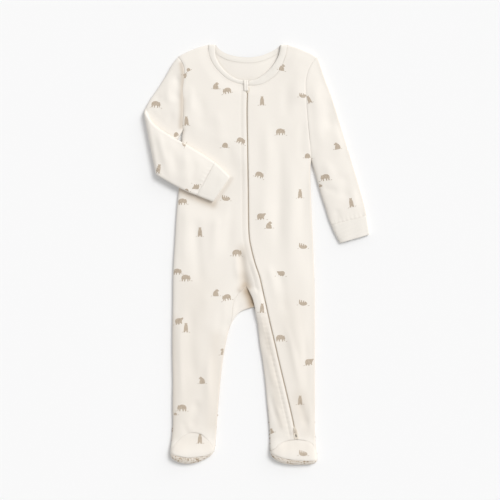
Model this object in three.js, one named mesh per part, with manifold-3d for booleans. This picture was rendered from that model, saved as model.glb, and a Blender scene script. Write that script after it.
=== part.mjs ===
// A footed baby sleepsuit, laid flat on its back with one sleeve folded over at the elbow.
// Millimetres. +Z is up from the surface it lies on, +Y toward the neck, -X the image's left.
import * as THREE from "three";
import { mergeVertices } from "three/addons/utils/BufferGeometryUtils.js";
import Module from "manifold-3d";

const LENGTH = 740; // neck to toes, as laid
const MM_PER_PX = LENGTH / 421; // the outline rows below are in the photo's pixels
const PHOTO_MIDDLE = { x: 256.6516, y: 254.5876 };

const CLOTH = 1.8; // wall of a cloth piece
const VAMP = 1.4; // wall of a vamp
const SEAM_GAP = 0.3; // between two pieces at their seam
const LAID = { top: 7.4, seam: 3.7 }; // the flat garment: its upper face, and its edges' seam line
const FOOT = { top: 14, seam: 6.2, roundTop: 8.5, roundBottom: 6, from: 437, full: 455 };
const TURN = [0, 0.293, 1]; // rows over a rounded edge, as shares of its radius

const ZIP = { slit: 3.4, tapeGap: 2, tapeWidth: 10, tapeTop: 5.3, tape: 1.1 };
const PLACKET = { from: 2.5, ridge: 5.5, to: 9, height: 0.8 };
const BEND = { axis: 7.8 }; // height of the folded sleeve's axis
const MIRROR = ((BEND.axis - LAID.seam) * Math.PI) / 2; // where a flat sleeve turns back

// Outline rows, [x, y] in the photo's pixels.
const ROWS = {
  shoulderLeft: [[208.8, 44.4], [202, 46.2], [195, 48.5], [186, 52.3], [178, 56.6]],
  shoulderRight: [[287.2, 44.6], [294, 46.6], [302, 49.6], [310, 53.2], [317.4, 57.4]],
  armholeLeft: [[178, 56.6], [181, 60.4], [183.8, 66], [184.6, 74], [183.6, 82], [182.6, 90],
    [183.4, 99], [183.6, 112], [183, 122], [182.8, 130.4]],
  armholeRight: [[317.4, 57.4], [314.4, 60], [311, 65], [307.6, 73], [305.8, 82], [305.8, 92],
    [307, 110], [308.6, 128], [310, 144], [310.8, 153], [311.2, 159.8]],
  sideLeft: [[182.8, 130.4], [181.6, 140], [180.6, 155], [179.8, 172], [178.6, 190], [177, 208],
    [175.8, 226], [174.8, 244], [173.6, 262], [173, 282], [172.8, 306], [172.3, 332], [172.3, 356],
    [172.8, 380], [172.5, 406], [172.8, 426], [171.6, 440], [170.4, 449.6]],
  sideRight: [[311.2, 159.8], [310.4, 172], [311.2, 196], [312, 218], [313, 238], [313.9, 262],
    [314.8, 288], [315, 320], [315, 360], [315, 400], [315, 430], [315.6, 442], [316.4, 449.4]],
  innerLeft: [[229.6, 328], [228, 333.4], [226.6, 340], [225, 348], [223.4, 357], [222, 368],
    [220.4, 382], [219, 398], [217.8, 412], [216.8, 426], [216, 438], [214.8, 449.8]],
  crotch: [[253, 307.4], [249.5, 308.4], [244.6, 310], [240.2, 312.3], [236.2, 316.2],
    [232.4, 322], [229.6, 328]],
  innerRight: [[253, 307.4], [255.2, 311.6], [256.2, 317], [257.6, 324], [258.8, 334],
    [260.2, 346], [262, 356], [264, 370], [265.6, 384], [267, 400], [268.6, 416], [269.8, 432],
    [270.2, 444], [270.3, 450.6]],
  stripEdge: [[246, 286], [248.6, 290.4], [251, 295], [253, 300], [254.4, 306], [256.2, 317],
    [257.6, 324], [258.8, 334], [260.2, 346], [262, 356], [264, 370], [265.6, 384], [267, 400],
    [268.6, 416], [269.8, 432], [270.2, 444], [270.3, 450.6]],
  gussetSeam: [[246, 286], [242.4, 289.6], [238.6, 293.4], [235.2, 297.6], [233.6, 301],
    [232.4, 306], [231.9, 312], [231.4, 318.7], [230.6, 324], [229.6, 328]],
  neckLeft: [[208.8, 44.4], [208.4, 50], [209.2, 55.8], [213.2, 64.6], [220.4, 73.4],
    [228.4, 79.8], [238, 83.8]],
  neckRight: [[287.2, 44.6], [286.4, 52], [284.4, 59], [281.2, 66.8], [277.2, 73.4], [270, 79.8],
    [262, 84.2], [255, 85.7]],
  neckBack: [[208.8, 44.4], [212, 48.4], [216, 52.4], [222, 57], [230, 60.4], [239.6, 62.2],
    [249, 62.8], [258, 61.8], [266, 59.4], [273, 56], [279, 52.2], [283.6, 48.4], [287.2, 44.6]],
  bandLeft: [[215.6, 44.4], [215.2, 51], [216.4, 58], [222, 67.4], [229.8, 74.6], [237.6, 79],
    [246.2, 80.4]],
  bandRight: [[280.6, 44.6], [279.8, 50], [278.6, 55], [274.8, 62.2], [268.4, 70.2], [259.6, 77],
    [254, 79.6], [249.1, 80.4]],
  bandBack: [[215.6, 44.4], [218.6, 48], [223, 51.6], [230, 54.6], [238, 56.4], [249.2, 57.2],
    [256, 56.4], [262.4, 55], [271.6, 51], [276.8, 48], [280.6, 44.6]],
  zip: [[247.7, 85.3], [247, 110], [247.6, 150], [248.2, 190], [248.7, 228],
    [249.6, 240], [251.6, 250], [255, 263], [259.7, 277], [262.2, 288], [265.8, 304], [270, 323],
    [274.5, 342], [280.5, 368], [286.5, 393], [292.5, 419], [296.6, 439.4]],
  sleeveRightOuter: [[317.4, 57.4], [319.8, 64], [322, 70.6], [326.4, 83], [331, 95], [335, 107],
    [338.6, 119], [342.2, 131], [346, 143], [349.8, 155], [353.4, 167], [357, 179], [360.4, 191],
    [363.8, 203], [366.6, 215.6]],
  sleeveRightInner: [[311.2, 159.8], [313, 166], [315.2, 173], [318.4, 185], [322, 197],
    [326, 209], [329, 219], [331.2, 224.8]],
  cuffRightOuter: [[366.4, 215.8], [368, 225], [369.5, 234.6]],
  cuffRightInner: [[331.6, 224.8], [335, 233.6], [340.2, 243.2]],
  // the upper arm as it lies
  upperArmOuter: [[178, 56.6], [172.4, 64], [165.8, 75.6], [158, 88], [149.8, 100], [143.4, 112.6]],
  upperArmInner: [[182.8, 130.4], [180, 135.6], [176.6, 141.4], [168.4, 156], [160.4, 169]],
  // the folded forearm as it lies, its back facing up
  forearmOuter: [[154.3, 124.6], [164, 131.8], [174.7, 138.4], [184, 143.4], [199, 152.3],
    [214.8, 162.6]],
  forearmInner: [[166, 180.6], [180.3, 188.4], [189, 192.6], [197, 195.6]],
  cuffLeftOuter: [[214.9, 163], [222.4, 169.6], [230, 177.2]],
  cuffLeftInner: [[197.6, 195.6], [205.4, 199], [213, 202]],
  vampLeft: [[170.4, 449.6], [172.6, 446.8], [176.6, 442], [181.6, 437.6], [188, 433.4],
    [194.8, 432.4], [201.4, 434.2], [207.4, 439.6], [211.6, 445], [214.8, 449.8]],
  vampRightInner: [[270.3, 450.6], [274.4, 448.4], [279, 444.2], [285, 441.2], [290, 440]],
  vampRightOuter: [[303, 440], [309, 441.8], [313, 444.8], [316.4, 449.4]],
  soleLeft: [[170.2, 453], [174, 454.2], [180, 455.6], [187.6, 456.8], [195, 456.4],
    [203, 455.6], [209, 453.8], [214.1, 451.4]],
  soleRight: [[270.6, 453.8], [275.2, 454.6], [281, 456.8], [290, 458.8], [301.6, 459.9],
    [309, 460.2], [317.5, 459.4]],
  toeLeft: [[170.2, 453], [170.8, 456.4], [173, 459.4], [177.4, 462], [183, 463.4], [189, 463.8],
    [196, 462.8], [202.6, 460.4], [208.2, 457.6], [211.8, 454.8], [214.1, 451.4]],
  toeRight: [[270.6, 453.8], [272.4, 457.2], [276, 460.4], [282, 463], [290, 464.6],
    [298, 464.8], [306, 464.6], [312, 464.2], [315.8, 462.6], [317.5, 459.4]],
  heelLeft: [[172.5, 410], [176, 404.4], [183, 400], [194.6, 398], [206, 399.6], [213.6, 403.6],
    [218, 409.4]],
  heelRight: [[268, 410], [272.6, 403.6], [280, 399.6], [292, 398], [303.6, 400], [311, 404.6],
    [315, 410]],
};

const ELBOW = { x: 143.7, y: 114, alongX: 0.193, alongY: 0.981 }; // the fold's outer edge

// Plane curves

const toMm = ([x, y]) => [(x - PHOTO_MIDDLE.x) * MM_PER_PX, (PHOTO_MIDDLE.y - y) * MM_PER_PX];
const minus = (a, b) => a.map((v, i) => v - b[i]);
const plus = (a, b, times = 1) => a.map((v, i) => v + b[i] * times);
const dot = (a, b) => a.reduce((sum, v, i) => sum + v * b[i], 0);
const size = (a) => Math.hypot(...a);
const unit = (a) => a.map((v) => v / (size(a) || 1));
const mix = (a, b, t) => a.map((v, i) => v + (b[i] - v) * t);
const ramp = (t) => {
  const s = Math.min(1, Math.max(0, t));
  return s * s * (3 - 2 * s);
};

// A smooth curve through the points, as short straight steps.
function smooth(points, step = 2) {
  const at = [0];
  for (let i = 1; i < points.length; i++) at.push(at[i - 1] + size(minus(points[i], points[i - 1])));
  const slope = points.map((_, i) => {
    const a = Math.max(0, i - 1);
    const b = Math.min(points.length - 1, i + 1);
    return minus(points[b], points[a]).map((v) => v / (at[b] - at[a]));
  });
  const out = [points[0]];
  for (let i = 1; i < points.length; i++) {
    const span = at[i] - at[i - 1];
    const steps = Math.max(1, Math.round(span / step));
    for (let j = 1; j <= steps; j++) {
      const t = j / steps;
      const a = 2 * t ** 3 - 3 * t ** 2 + 1;
      const b = t ** 3 - 2 * t ** 2 + t;
      const c = t ** 3 - t ** 2;
      out.push(points[i].map((v, k) =>
        a * points[i - 1][k] + b * span * slope[i - 1][k] + (1 - a) * v + c * span * slope[i][k]));
    }
  }
  return out;
}

function lengths(line) {
  const at = [0];
  for (let i = 1; i < line.length; i++) at.push(at[i - 1] + size(minus(line[i], line[i - 1])));
  return at;
}

// The points of a line at these distances along it.
function along(line, distances) {
  const at = lengths(line);
  return distances.map((d) => {
    let i = 1;
    while (i < line.length - 1 && at[i] < d) i++;
    return mix(line[i - 1], line[i], (d - at[i - 1]) / (at[i] - at[i - 1] || 1));
  });
}

// Distances along a line: rows over a rounded edge at an end that has one, and even steps between.
function stops(line, count, { start = 0, end = 0 } = {}) {
  const total = lengths(line).at(-1);
  const first = start ? TURN.map((t) => t * start) : [0];
  const last = end ? TURN.map((t) => total - t * end).reverse() : [total];
  const a = first.at(-1);
  const b = last[0];
  const between = [];
  for (let i = 1; i < count; i++) between.push(a + ((b - a) * i) / count);
  return [...first, ...between, ...last];
}

const sample = (line, count, ends) => along(line, stops(line, count, ends));
const joined = (...lists) => lists.reduce((all, list) => [...all, ...list.slice(1)]);
const reversed = (list) => [...list].reverse();

// The line moved sideways, to its left as it runs.
function beside(line, distance) {
  return line.map((p, i) => {
    const run = unit(minus(line[Math.min(line.length - 1, i + 1)], line[Math.max(0, i - 1)]));
    return [p[0] - run[1] * distance, p[1] + run[0] * distance];
  });
}

// How far a point is from the nearest line of a set, and the height that line's seam is given.
function nearest(lines, p) {
  let best = { distance: Infinity };
  for (const { points, levels } of lines)
    for (let i = 1; i < points.length; i++) {
      const [ax, ay] = points[i - 1];
      const dx = points[i][0] - ax;
      const dy = points[i][1] - ay;
      const raw = ((p[0] - ax) * dx + (p[1] - ay) * dy) / (dx * dx + dy * dy || 1);
      const t = Math.min(1, Math.max(0, raw));
      const distance = Math.hypot(p[0] - ax - dx * t, p[1] - ay - dy * t);
      if (distance < best.distance)
        best = { distance, level: levels ? levels[i - 1] + (levels[i] - levels[i - 1]) * t : null };
    }
  return best;
}

const LINE = Object.fromEntries(
  Object.entries(ROWS).map(([name, rows]) => [name, smooth(rows.map(toMm))]));

// Heights of the laid garment

const yOf = (py) => (PHOTO_MIDDLE.y - py) * MM_PER_PX;
const footness = (y) => ramp((yOf(FOOT.from) - y) / (yOf(FOOT.from) - yOf(FOOT.full)));

// The outer height of an upper piece: rounded down to the seam line at the garment's edges.
function upper(p, edges, { gap = SEAM_GAP / 2, raise = 0 } = {}) {
  const foot = footness(p[1]);
  const near = nearest(edges, p);
  const top = LAID.top + (FOOT.top - LAID.top) * foot + raise;
  const level = near.level ?? LAID.seam + (FOOT.seam - LAID.seam) * foot + gap;
  const round = Math.max(top - level, FOOT.roundTop * foot);
  if (near.distance >= round) return top;
  return level + (top - level) * Math.sqrt(1 - (1 - near.distance / round) ** 2);
}

// The outer height of an under piece, flat on the surface.
function under(p, edges, { gap = SEAM_GAP / 2 } = {}) {
  const foot = footness(p[1]);
  const near = nearest(edges, p);
  const level = LAID.seam + (FOOT.seam - LAID.seam) * foot - gap;
  const round = Math.max(level, FOOT.roundBottom * foot);
  if (near.distance >= round) return 0;
  return level * (1 - Math.sqrt(1 - (1 - near.distance / round) ** 2));
}

// Cloth

// A patch of cloth between four lines: rows of plane points, with as many columns as its top has.
function patch(top, bottom, left, right) {
  if (top.length !== bottom.length || left.length !== right.length)
    throw new Error(`patch of ${top.length}, ${bottom.length}, ${left.length}, ${right.length}`);
  const share = (list) => {
    const at = lengths(list);
    return at.map((v, i) => (at.at(-1) ? v / at.at(-1) : i / (at.length - 1)));
  };
  const u = share(top).map((v, i) => (v + share(bottom)[i]) / 2);
  const v = share(left).map((s, j) => (s + share(right)[j]) / 2);
  return left.map((_, j) => top.map((_, i) => {
    if (j === 0) return top[i];
    if (j === left.length - 1) return bottom[i];
    if (i === 0) return left[j];
    if (i === top.length - 1) return right[j];
    const [s, t] = [u[i], v[j]];
    return [0, 1].map((k) =>
      (1 - t) * top[i][k] + t * bottom[i][k] + (1 - s) * left[j][k] + s * right[j][k]
      - (1 - s) * (1 - t) * top[0][k] - s * (1 - t) * top.at(-1)[k]
      - (1 - s) * t * bottom[0][k] - s * t * bottom.at(-1)[k]);
  }));
}

// The outer face of a cloth piece, as patches that share their common points.
class Sheet {
  constructor() {
    this.points = [];
    this.faces = [];
    this.edge = new Set(); // points on the garment's rounded edge
    this.index = new Map();
  }

  point(p, onEdge) {
    const key = p.map((v) => Math.round(v * 1000)).join();
    if (!this.index.has(key)) {
      this.index.set(key, this.points.length);
      this.points.push(p);
    }
    const i = this.index.get(key);
    if (onEdge) this.edge.add(i);
    return i;
  }

  // Adds a patch whose outside faces up or down, with the height that height(p) gives.
  add(rows, facing, height, edges = []) {
    const turned = (p) => {
      const near = edges.length ? nearest(edges, p) : { distance: Infinity };
      return near.distance < 0.02 && !(near.level > LAID.top - 0.5);
    };
    const ids = rows.map((row) => row.map((p) => this.point([p[0], p[1], height(p)], turned(p))));
    const flat = [];
    let area = 0;
    for (let j = 1; j < rows.length; j++)
      for (let i = 1; i < rows[0].length; i++) {
        const quad = [[j - 1, i - 1], [j - 1, i], [j, i], [j, i - 1]];
        quad.forEach(([r, c], k) => {
          const [r2, c2] = quad[(k + 1) % 4];
          area += rows[r][c][0] * rows[r2][c2][1] - rows[r2][c2][0] * rows[r][c][1];
        });
        flat.push(quad.map(([r, c]) => ids[r][c]));
      }
    for (const quad of flat) this.quad(Math.sign(area) === facing ? quad : quad.reverse());
    return this;
  }

  quad([a, b, c, d]) {
    for (const face of [[a, b, c], [a, c, d]])
      if (new Set(face).size === 3) this.faces.push(face);
  }
}

// A closed solid: the sheet, a wall's thickness of cloth inside it, and its cut edges.
// bend moves the finished points, for a piece that is folded after it is made flat.
function cloth(sheet, { thick = CLOTH, bend = (p) => p } = {}) {
  const normals = sheet.points.map(() => [0, 0, 0]);
  const uses = new Map();
  for (const face of sheet.faces) {
    const [a, b, c] = face.map((i) => sheet.points[i]);
    const u = minus(b, a);
    const v = minus(c, a);
    const n = [u[1] * v[2] - u[2] * v[1], u[2] * v[0] - u[0] * v[2], u[0] * v[1] - u[1] * v[0]];
    face.forEach((i, k) => {
      normals[i] = plus(normals[i], n);
      const j = face[(k + 1) % 3];
      uses.set(`${i},${j}`, { from: i, to: j, third: face[(k + 2) % 3] });
    });
  }
  const border = [...uses.values()].filter(({ from, to }) => !uses.has(`${to},${from}`));
  const moves = sheet.points.map(() => []);
  const runs = sheet.points.map(() => []);
  for (const { from, to, third } of border) {
    const run = unit(minus(sheet.points[to], sheet.points[from]).slice(0, 2));
    const rimmed = sheet.edge.has(from) && sheet.edge.has(to);
    for (const i of [from, to]) runs[i].push({ run, rimmed });
    if (rimmed) continue;
    const inward = minus(sheet.points[third], sheet.points[from]).slice(0, 2);
    const side = [-run[1], run[0]];
    const turned = dot(side, inward) > 0 ? side : side.map((w) => -w);
    moves[from].push(turned);
    moves[to].push(turned);
  }
  const outer = sheet.points.map((p, i) => {
    if (!moves[i].length) return p;
    const sum = unit(moves[i].reduce((s, m) => plus(s, m)));
    const reach = SEAM_GAP / 2 / Math.max(0.5, dot(sum, moves[i][0]));
    return [p[0] + sum[0] * reach, p[1] + sum[1] * reach, p[2]];
  });
  const inner = outer.map((p, i) => {
    let n = unit(normals[i]);
    if (sheet.edge.has(i) && runs[i].length) n = unit([n[0], n[1], 0]);
    const rims = runs[i].filter((r) => r.rimmed);
    if (rims.length === 1 && runs[i].length === 2) {
      const out = [-rims[0].run[1], rims[0].run[0], 0];
      n = dot(out, n) > 0 ? out : out.map((w) => -w);
    }
    for (const { run, rimmed } of runs[i]) {
      if (rimmed) continue;
      const side = [-run[1], run[0], 0];
      const rest = plus(n, side, -dot(n, side));
      if (size(rest) > 0.3) n = unit(rest);
    }
    return plus(p, n, -thick);
  });
  const count = outer.length;
  const all = [...outer, ...inner].map(bend);
  const faces = [...sheet.faces, ...sheet.faces.map(([a, b, c]) => [a + count, c + count, b + count])];
  for (const { from, to } of border)
    faces.push([to, from, from + count], [to, from + count, to + count]);
  return geometry(all, faces);
}

function geometry(points, faces) {
  const made = new THREE.BufferGeometry();
  made.setAttribute("position", new THREE.Float32BufferAttribute(points.flat(), 3));
  made.setIndex(faces.flat());
  made.computeVertexNormals();
  return made;
}

// A flat tube between two edges of a sleeve: its upper and under faces share the edges.
function tube(rows, edges) {
  const sheet = new Sheet();
  sheet.add(rows, 1, (p) => upper(p, edges, { gap: 0 }), edges);
  sheet.add(rows, -1, (p) => under(p, edges, { gap: 0 }), edges);
  return sheet;
}

// Lines that two pieces share

const ROUND = LAID.top - LAID.seam; // radius of the laid garment's edges
const ANKLE_ROUND = 6;
const both = { start: ROUND, end: ROUND };
const yAt = (line, y) => {
  const i = line.findIndex((p, k) => k && (p[1] - y) * (line[k - 1][1] - y) <= 0);
  const [a, b] = [line[i - 1], line[i]];
  return mix(a, b, (y - a[1]) / (b[1] - a[1] || 1));
};

// The part of a downward line between two heights.
function between(line, above, below) {
  const first = above >= line[0][1] ? line[0] : yAt(line, above);
  const last = below <= line.at(-1)[1] ? line.at(-1) : yAt(line, below);
  return [first, ...line.filter((p) => p[1] < first[1] && p[1] > last[1]), last];
}

const zipEdge = { left: beside(LINE.zip, -ZIP.slit / 2), right: beside(LINE.zip, ZIP.slit / 2) };
LINE.neckLeft.push(zipEdge.left[0]);
LINE.neckRight.push(zipEdge.right[0]);
LINE.vampRightInner = smooth([...ROWS.vampRightInner.map(toMm), zipEdge.left.at(-1)]);
LINE.vampRightOuter = smooth([zipEdge.right.at(-1), ...ROWS.vampRightOuter.map(toMm)]);
LINE.footLeft = smooth([LINE.sideLeft.at(-1), ...ROWS.toeLeft.map(toMm), LINE.innerLeft.at(-1)]);
LINE.footRight = smooth([LINE.innerRight.at(-1), ...ROWS.toeRight.map(toMm), LINE.sideRight.at(-1)]);

const snapped = (name, from, to) => smooth([from, ...ROWS[name].slice(1, -1).map(toMm), to]);
LINE.heelLeft = snapped("heelLeft", yAt(LINE.sideLeft, yOf(410)), yAt(LINE.innerLeft, yOf(409.4)));
LINE.heelRight = snapped("heelRight", yAt(LINE.innerRight, yOf(410)), yAt(LINE.sideRight, yOf(410)));

// The part of a line between its points nearest to two places.
function part(line, from, to) {
  const closest = (q) => line.reduce((best, p, i) =>
    (size(minus(p, q)) < size(minus(line[best], q)) ? i : best), 0);
  const [a, b] = [closest(from), closest(to)];
  return a < b ? line.slice(a, b + 1) : reversed(line.slice(b, a + 1));
}

// The folded sleeve's line, and the forearm turned back over it to lie flat in line with the arm.
const foldAt = toMm([ELBOW.x, ELBOW.y]);
const foldOut = unit([-ELBOW.alongY, -ELBOW.alongX]);
const pastFold = (p) => dot(minus(p.slice(0, 2), foldAt), foldOut) + BEND.axis;
const turnedBack = (p) => plus(p, foldOut, 2 * (MIRROR - pastFold(p)));
const forearm = (name) => ROWS[name].map((row) => turnedBack(toMm(row)));
LINE.sleeveLeftOuter = smooth([...ROWS.upperArmOuter.map(toMm), ...forearm("forearmOuter")]);
LINE.sleeveLeftInner = smooth([...ROWS.upperArmInner.map(toMm), ...forearm("forearmInner")]);

const armholeLeft = sample(LINE.armholeLeft, 6, both);
const armholeRight = sample(LINE.armholeRight, 6, both);
const shoulderLeft = sample(LINE.shoulderLeft, 3, { end: ROUND });
const shoulderRight = sample(LINE.shoulderRight, 3, { end: ROUND });
const neckLeft = sample(LINE.neckLeft, 6, { start: ROUND });
const neckRight = sample(LINE.neckRight, 6, { start: ROUND });
const neckBack = sample(LINE.neckBack, 11, both);
const vampLeft = sample(LINE.vampLeft, 7, { start: ANKLE_ROUND, end: ANKLE_ROUND });
const vampRightInner = sample(LINE.vampRightInner, 2, { start: ANKLE_ROUND });
const vampRightOuter = sample(LINE.vampRightOuter, 7, { end: ANKLE_ROUND });
const gussetSeam = along(LINE.gussetSeam, [0, 4, 15, 30, 48, lengths(LINE.gussetSeam).at(-1)]);
const heelLeft = sample(LINE.heelLeft, 7, both);
const heelRight = sample(LINE.heelRight, 10, both);

const edge = (...names) => names.map((name) => ({ points: LINE[name] }));
const EDGES = {
  left: edge("shoulderLeft", "sleeveLeftOuter", "sleeveLeftInner", "sideLeft"),
  right: edge("shoulderRight", "sleeveRightOuter", "sleeveRightInner", "sideRight"),
  legLeft: edge("sideLeft", "crotch", "innerLeft", "footLeft"),
  legRight: edge("sideRight", "crotch", "innerRight", "footRight"),
  footRight: edge("sideRight", "innerRight", "footRight"),
};
EDGES.back = [...EDGES.left, ...EDGES.right, ...edge("crotch", "innerLeft", "innerRight")];

// Panels of the body

const SPLIT = { side: yOf(276), zip: yOf(289) }; // where the front divides above the crotch
const BACK_SPLIT = { left: yOf(276), right: yOf(284) };
const SPANS = { side: 9, leg: 8, strip: 6 };

// The placket's ridge on the image's left of the zip.
function placket(p) {
  const d = nearest([{ points: zipEdge.left }], p).distance;
  const rise = ramp((d - PLACKET.from) / (PLACKET.ridge - PLACKET.from));
  const fall = 1 - ramp((d - PLACKET.ridge) / (PLACKET.to - PLACKET.ridge));
  const ends = ramp((yOf(92) - p[1]) / 15) * ramp((p[1] - yOf(410)) / 15);
  return PLACKET.height * Math.min(rise, fall) * ends;
}

// The leg's inner strip lies over the gusset, its folded edge raised.
const OVERLAP = { height: 1.2, wide: 9, fade: 18, from: 286, full: 293, ease: 322, end: 340 };
const GUSSET = { drop: 1.4, over: 8 }; // how far it dips under the strip, and within what reach
function overlap(p) {
  const near = nearest(edge("stripEdge"), p).distance;
  const across = 1 - ramp((near - OVERLAP.wide) / (OVERLAP.fade - OVERLAP.wide));
  const starts = ramp((yOf(OVERLAP.from) - p[1]) / (yOf(OVERLAP.from) - yOf(OVERLAP.full)));
  const ends = 1 - ramp((yOf(OVERLAP.ease) - p[1]) / (yOf(OVERLAP.ease) - yOf(OVERLAP.end)));
  return OVERLAP.height * across * starts * ends;
}
EDGES.strip = [{
  points: LINE.stripEdge,
  levels: LINE.stripEdge.map(([, y]) => {
    const high = y > yOf(287.4) ? LAID.top : 6.7;
    const low = LAID.seam + SEAM_GAP / 2 + footness(y) * (FOOT.seam - LAID.seam);
    return high + (low - high) * ramp((yOf(308) - y) / (yOf(308) - yOf(322)));
  }),
}];

function frontLeft() {
  const sheet = new Sheet();
  const apex = LINE.stripEdge[0];
  const side = sample(between(LINE.sideLeft, Infinity, SPLIT.side), SPANS.side, { start: ROUND });
  const left = joined(armholeLeft, side);
  const zip = between(zipEdge.left, Infinity, SPLIT.zip);
  const right = joined(neckLeft, sample(zip, left.length - neckLeft.length));
  const top = sample(reversed(LINE.shoulderLeft), 13, { start: ROUND });
  const legTop = sample([left.at(-1), apex], 7, both);
  const stripTop = sample([apex, right.at(-1)], 2, { start: ROUND });
  const raise = (p) => Math.max(placket(p), overlap(p));
  const edges = [...EDGES.left, ...EDGES.strip];
  sheet.add(patch(top, joined(legTop, stripTop), left, right), 1,
    (p) => upper(p, edges, { raise: raise(p) }), edges);

  const inner = joined(gussetSeam, sample(LINE.innerLeft, SPANS.leg));
  const outer = sample(between(LINE.sideLeft, SPLIT.side, -Infinity), inner.length - 1);
  sheet.add(patch(legTop, vampLeft, outer, inner), 1, (p) => upper(p, EDGES.legLeft),
    EDGES.legLeft);

  const stripLeft = joined(
    sample(between(LINE.stripEdge, Infinity, yOf(324)), 6),
    sample(between(LINE.stripEdge, yOf(324), -Infinity), SPANS.strip));
  const stripRight = sample(between(zipEdge.left, SPLIT.zip, -Infinity), stripLeft.length - 1);
  sheet.add(patch(stripTop, vampRightInner, stripLeft, stripRight), 1,
    (p) => upper(p, EDGES.strip, { raise: raise(p) }), EDGES.strip);
  return cloth(sheet);
}

function frontRight() {
  const side = sample(LINE.sideRight, 17, { start: ROUND });
  const right = joined(armholeRight, side);
  const left = joined(neckRight, sample(zipEdge.right, right.length - neckRight.length));
  const top = sample(LINE.shoulderRight, 7, { end: ROUND });
  const rows = patch(top, vampRightOuter, left, right);
  return cloth(new Sheet().add(rows, 1, (p) => upper(p, EDGES.right), EDGES.right));
}

function back() {
  const sheet = new Sheet();
  const crotchTop = LINE.crotch[0];
  const sideTo = (line, y) => sample(between(line, Infinity, y), SPANS.side, { start: ROUND });
  const left = joined(armholeLeft, sideTo(LINE.sideLeft, BACK_SPLIT.left));
  const right = joined(armholeRight, sideTo(LINE.sideRight, BACK_SPLIT.right));
  const top = joined(reversed(shoulderLeft), neckBack, shoulderRight);
  const legTop = {
    left: sample([left.at(-1), crotchTop], 7, both),
    right: sample([crotchTop, right.at(-1)], 10, both),
  };
  const height = (p) => under(p, EDGES.back);
  sheet.add(patch(top, joined(legTop.left, legTop.right), left, right), -1, height, EDGES.back);

  const heelY = (heel, end) => heel.at(end)[1];
  const innerLeft = joined(sample(LINE.crotch, 5),
    sample(between(LINE.innerLeft, Infinity, heelY(heelLeft, -1)), 5));
  const outerLeft = sample(between(LINE.sideLeft, BACK_SPLIT.left, heelY(heelLeft, 0)),
    innerLeft.length - 1);
  sheet.add(patch(legTop.left, heelLeft, outerLeft, innerLeft), -1, height, EDGES.back);

  const innerRight = sample(between(LINE.innerRight, Infinity, heelY(heelRight, 0)),
    innerLeft.length - 1);
  const outerRight = sample(between(LINE.sideRight, BACK_SPLIT.right, heelY(heelRight, -1)),
    innerLeft.length - 1);
  sheet.add(patch(legTop.right, heelRight, innerRight, outerRight), -1, height, EDGES.back);
  return cloth(sheet);
}

// The piece between the legs, from the front's left leg down under the strip.
function gusset() {
  const seam = gussetSeam.slice(1);
  const hidden = sample(smooth([[252.6, 292.4], [256, 299], [257.8, 306.2]].map(toMm)), 4);
  const crotch = sample([...reversed(LINE.crotch), toMm([255.4, 306.6]), hidden.at(-1)], 6);
  const edges = [{ points: crotch }];
  const seamLine = [{ points: LINE.gussetSeam }];
  const rows = patch(sample([seam[0], hidden[0]], 6), crotch, seam, hidden);
  const dip = (p) => -GUSSET.drop * ramp(nearest(seamLine, p).distance / GUSSET.over);
  return cloth(new Sheet().add(rows, 1, (p) => upper(p, edges, { raise: dip(p) }), edges));
}

// Sleeves and cuffs

function sleeveRight() {
  const wrist = sample([LINE.sleeveRightOuter.at(-1), LINE.sleeveRightInner.at(-1)], 6, both);
  const outer = sample(LINE.sleeveRightOuter, 9);
  const inner = sample(LINE.sleeveRightInner, 9);
  return cloth(tube(patch(armholeRight, wrist, outer, inner), EDGES.right));
}

// Cloth past the fold line goes round an axis along it, and lies back over the sleeve.
function folded([x, y, z]) {
  const past = pastFold([x, y]);
  if (past <= 0) return [x, y, z];
  const reach = BEND.axis - z;
  const turn = past / (BEND.axis - LAID.seam);
  const to = turn < Math.PI ? reach * Math.sin(turn) : 2 * MIRROR - past;
  const height = BEND.axis - reach * (turn < Math.PI ? Math.cos(turn) : -1);
  return [x + foldOut[0] * (to - past), y + foldOut[1] * (to - past), height];
}

// Where a line reaches this far past the fold line.
function foldCross(line, far) {
  const i = line.findIndex((p, k) => k && pastFold(p) >= far && pastFold(line[k - 1]) < far);
  const [a, b] = [pastFold(line[i - 1]), pastFold(line[i])];
  return { point: mix(line[i - 1], line[i], (far - a) / (b - a)), i };
}

function sleeveLeft() {
  const { sleeveLeftOuter: outer, sleeveLeftInner: inner } = LINE;
  const row = (far) => sample([foldCross(outer, far).point, foldCross(inner, far).point], 6, both);
  const turns = [0, 1, 2, 3, 4, 5, 6].map((k) => row((k / 6) * 2 * MIRROR));
  const upTo = (line, far) => {
    const { point, i } = foldCross(line, far);
    return [...line.slice(0, i), point];
  };
  const after = (line, far) => {
    const { point, i } = foldCross(line, far);
    return [point, ...line.slice(i)];
  };
  const wrist = sample([outer.at(-1), inner.at(-1)], 6, both);
  const upperRows = patch(armholeLeft, turns[0], sample(upTo(outer, 0), 4), sample(upTo(inner, 0), 4));
  const lowerRows = patch(turns.at(-1), wrist, sample(after(outer, 2 * MIRROR), 6),
    sample(after(inner, 2 * MIRROR), 6));
  const rows = [...upperRows, ...turns.slice(1, -1), ...lowerRows];
  return cloth(tube(rows, EDGES.left), { bend: folded });
}

function cuff(side, lift) {
  const outer = sample(LINE[`cuff${side}Outer`], 3);
  const inner = sample(LINE[`cuff${side}Inner`], 3);
  const edges = edge(`cuff${side}Outer`, `cuff${side}Inner`);
  const wrist = sample([outer[0], inner[0]], 6, both);
  const end = sample([outer.at(-1), inner.at(-1)], 6, both);
  return cloth(tube(patch(wrist, end, outer, inner), edges), { bend: ([x, y, z]) => [x, y, z + lift] });
}

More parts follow.
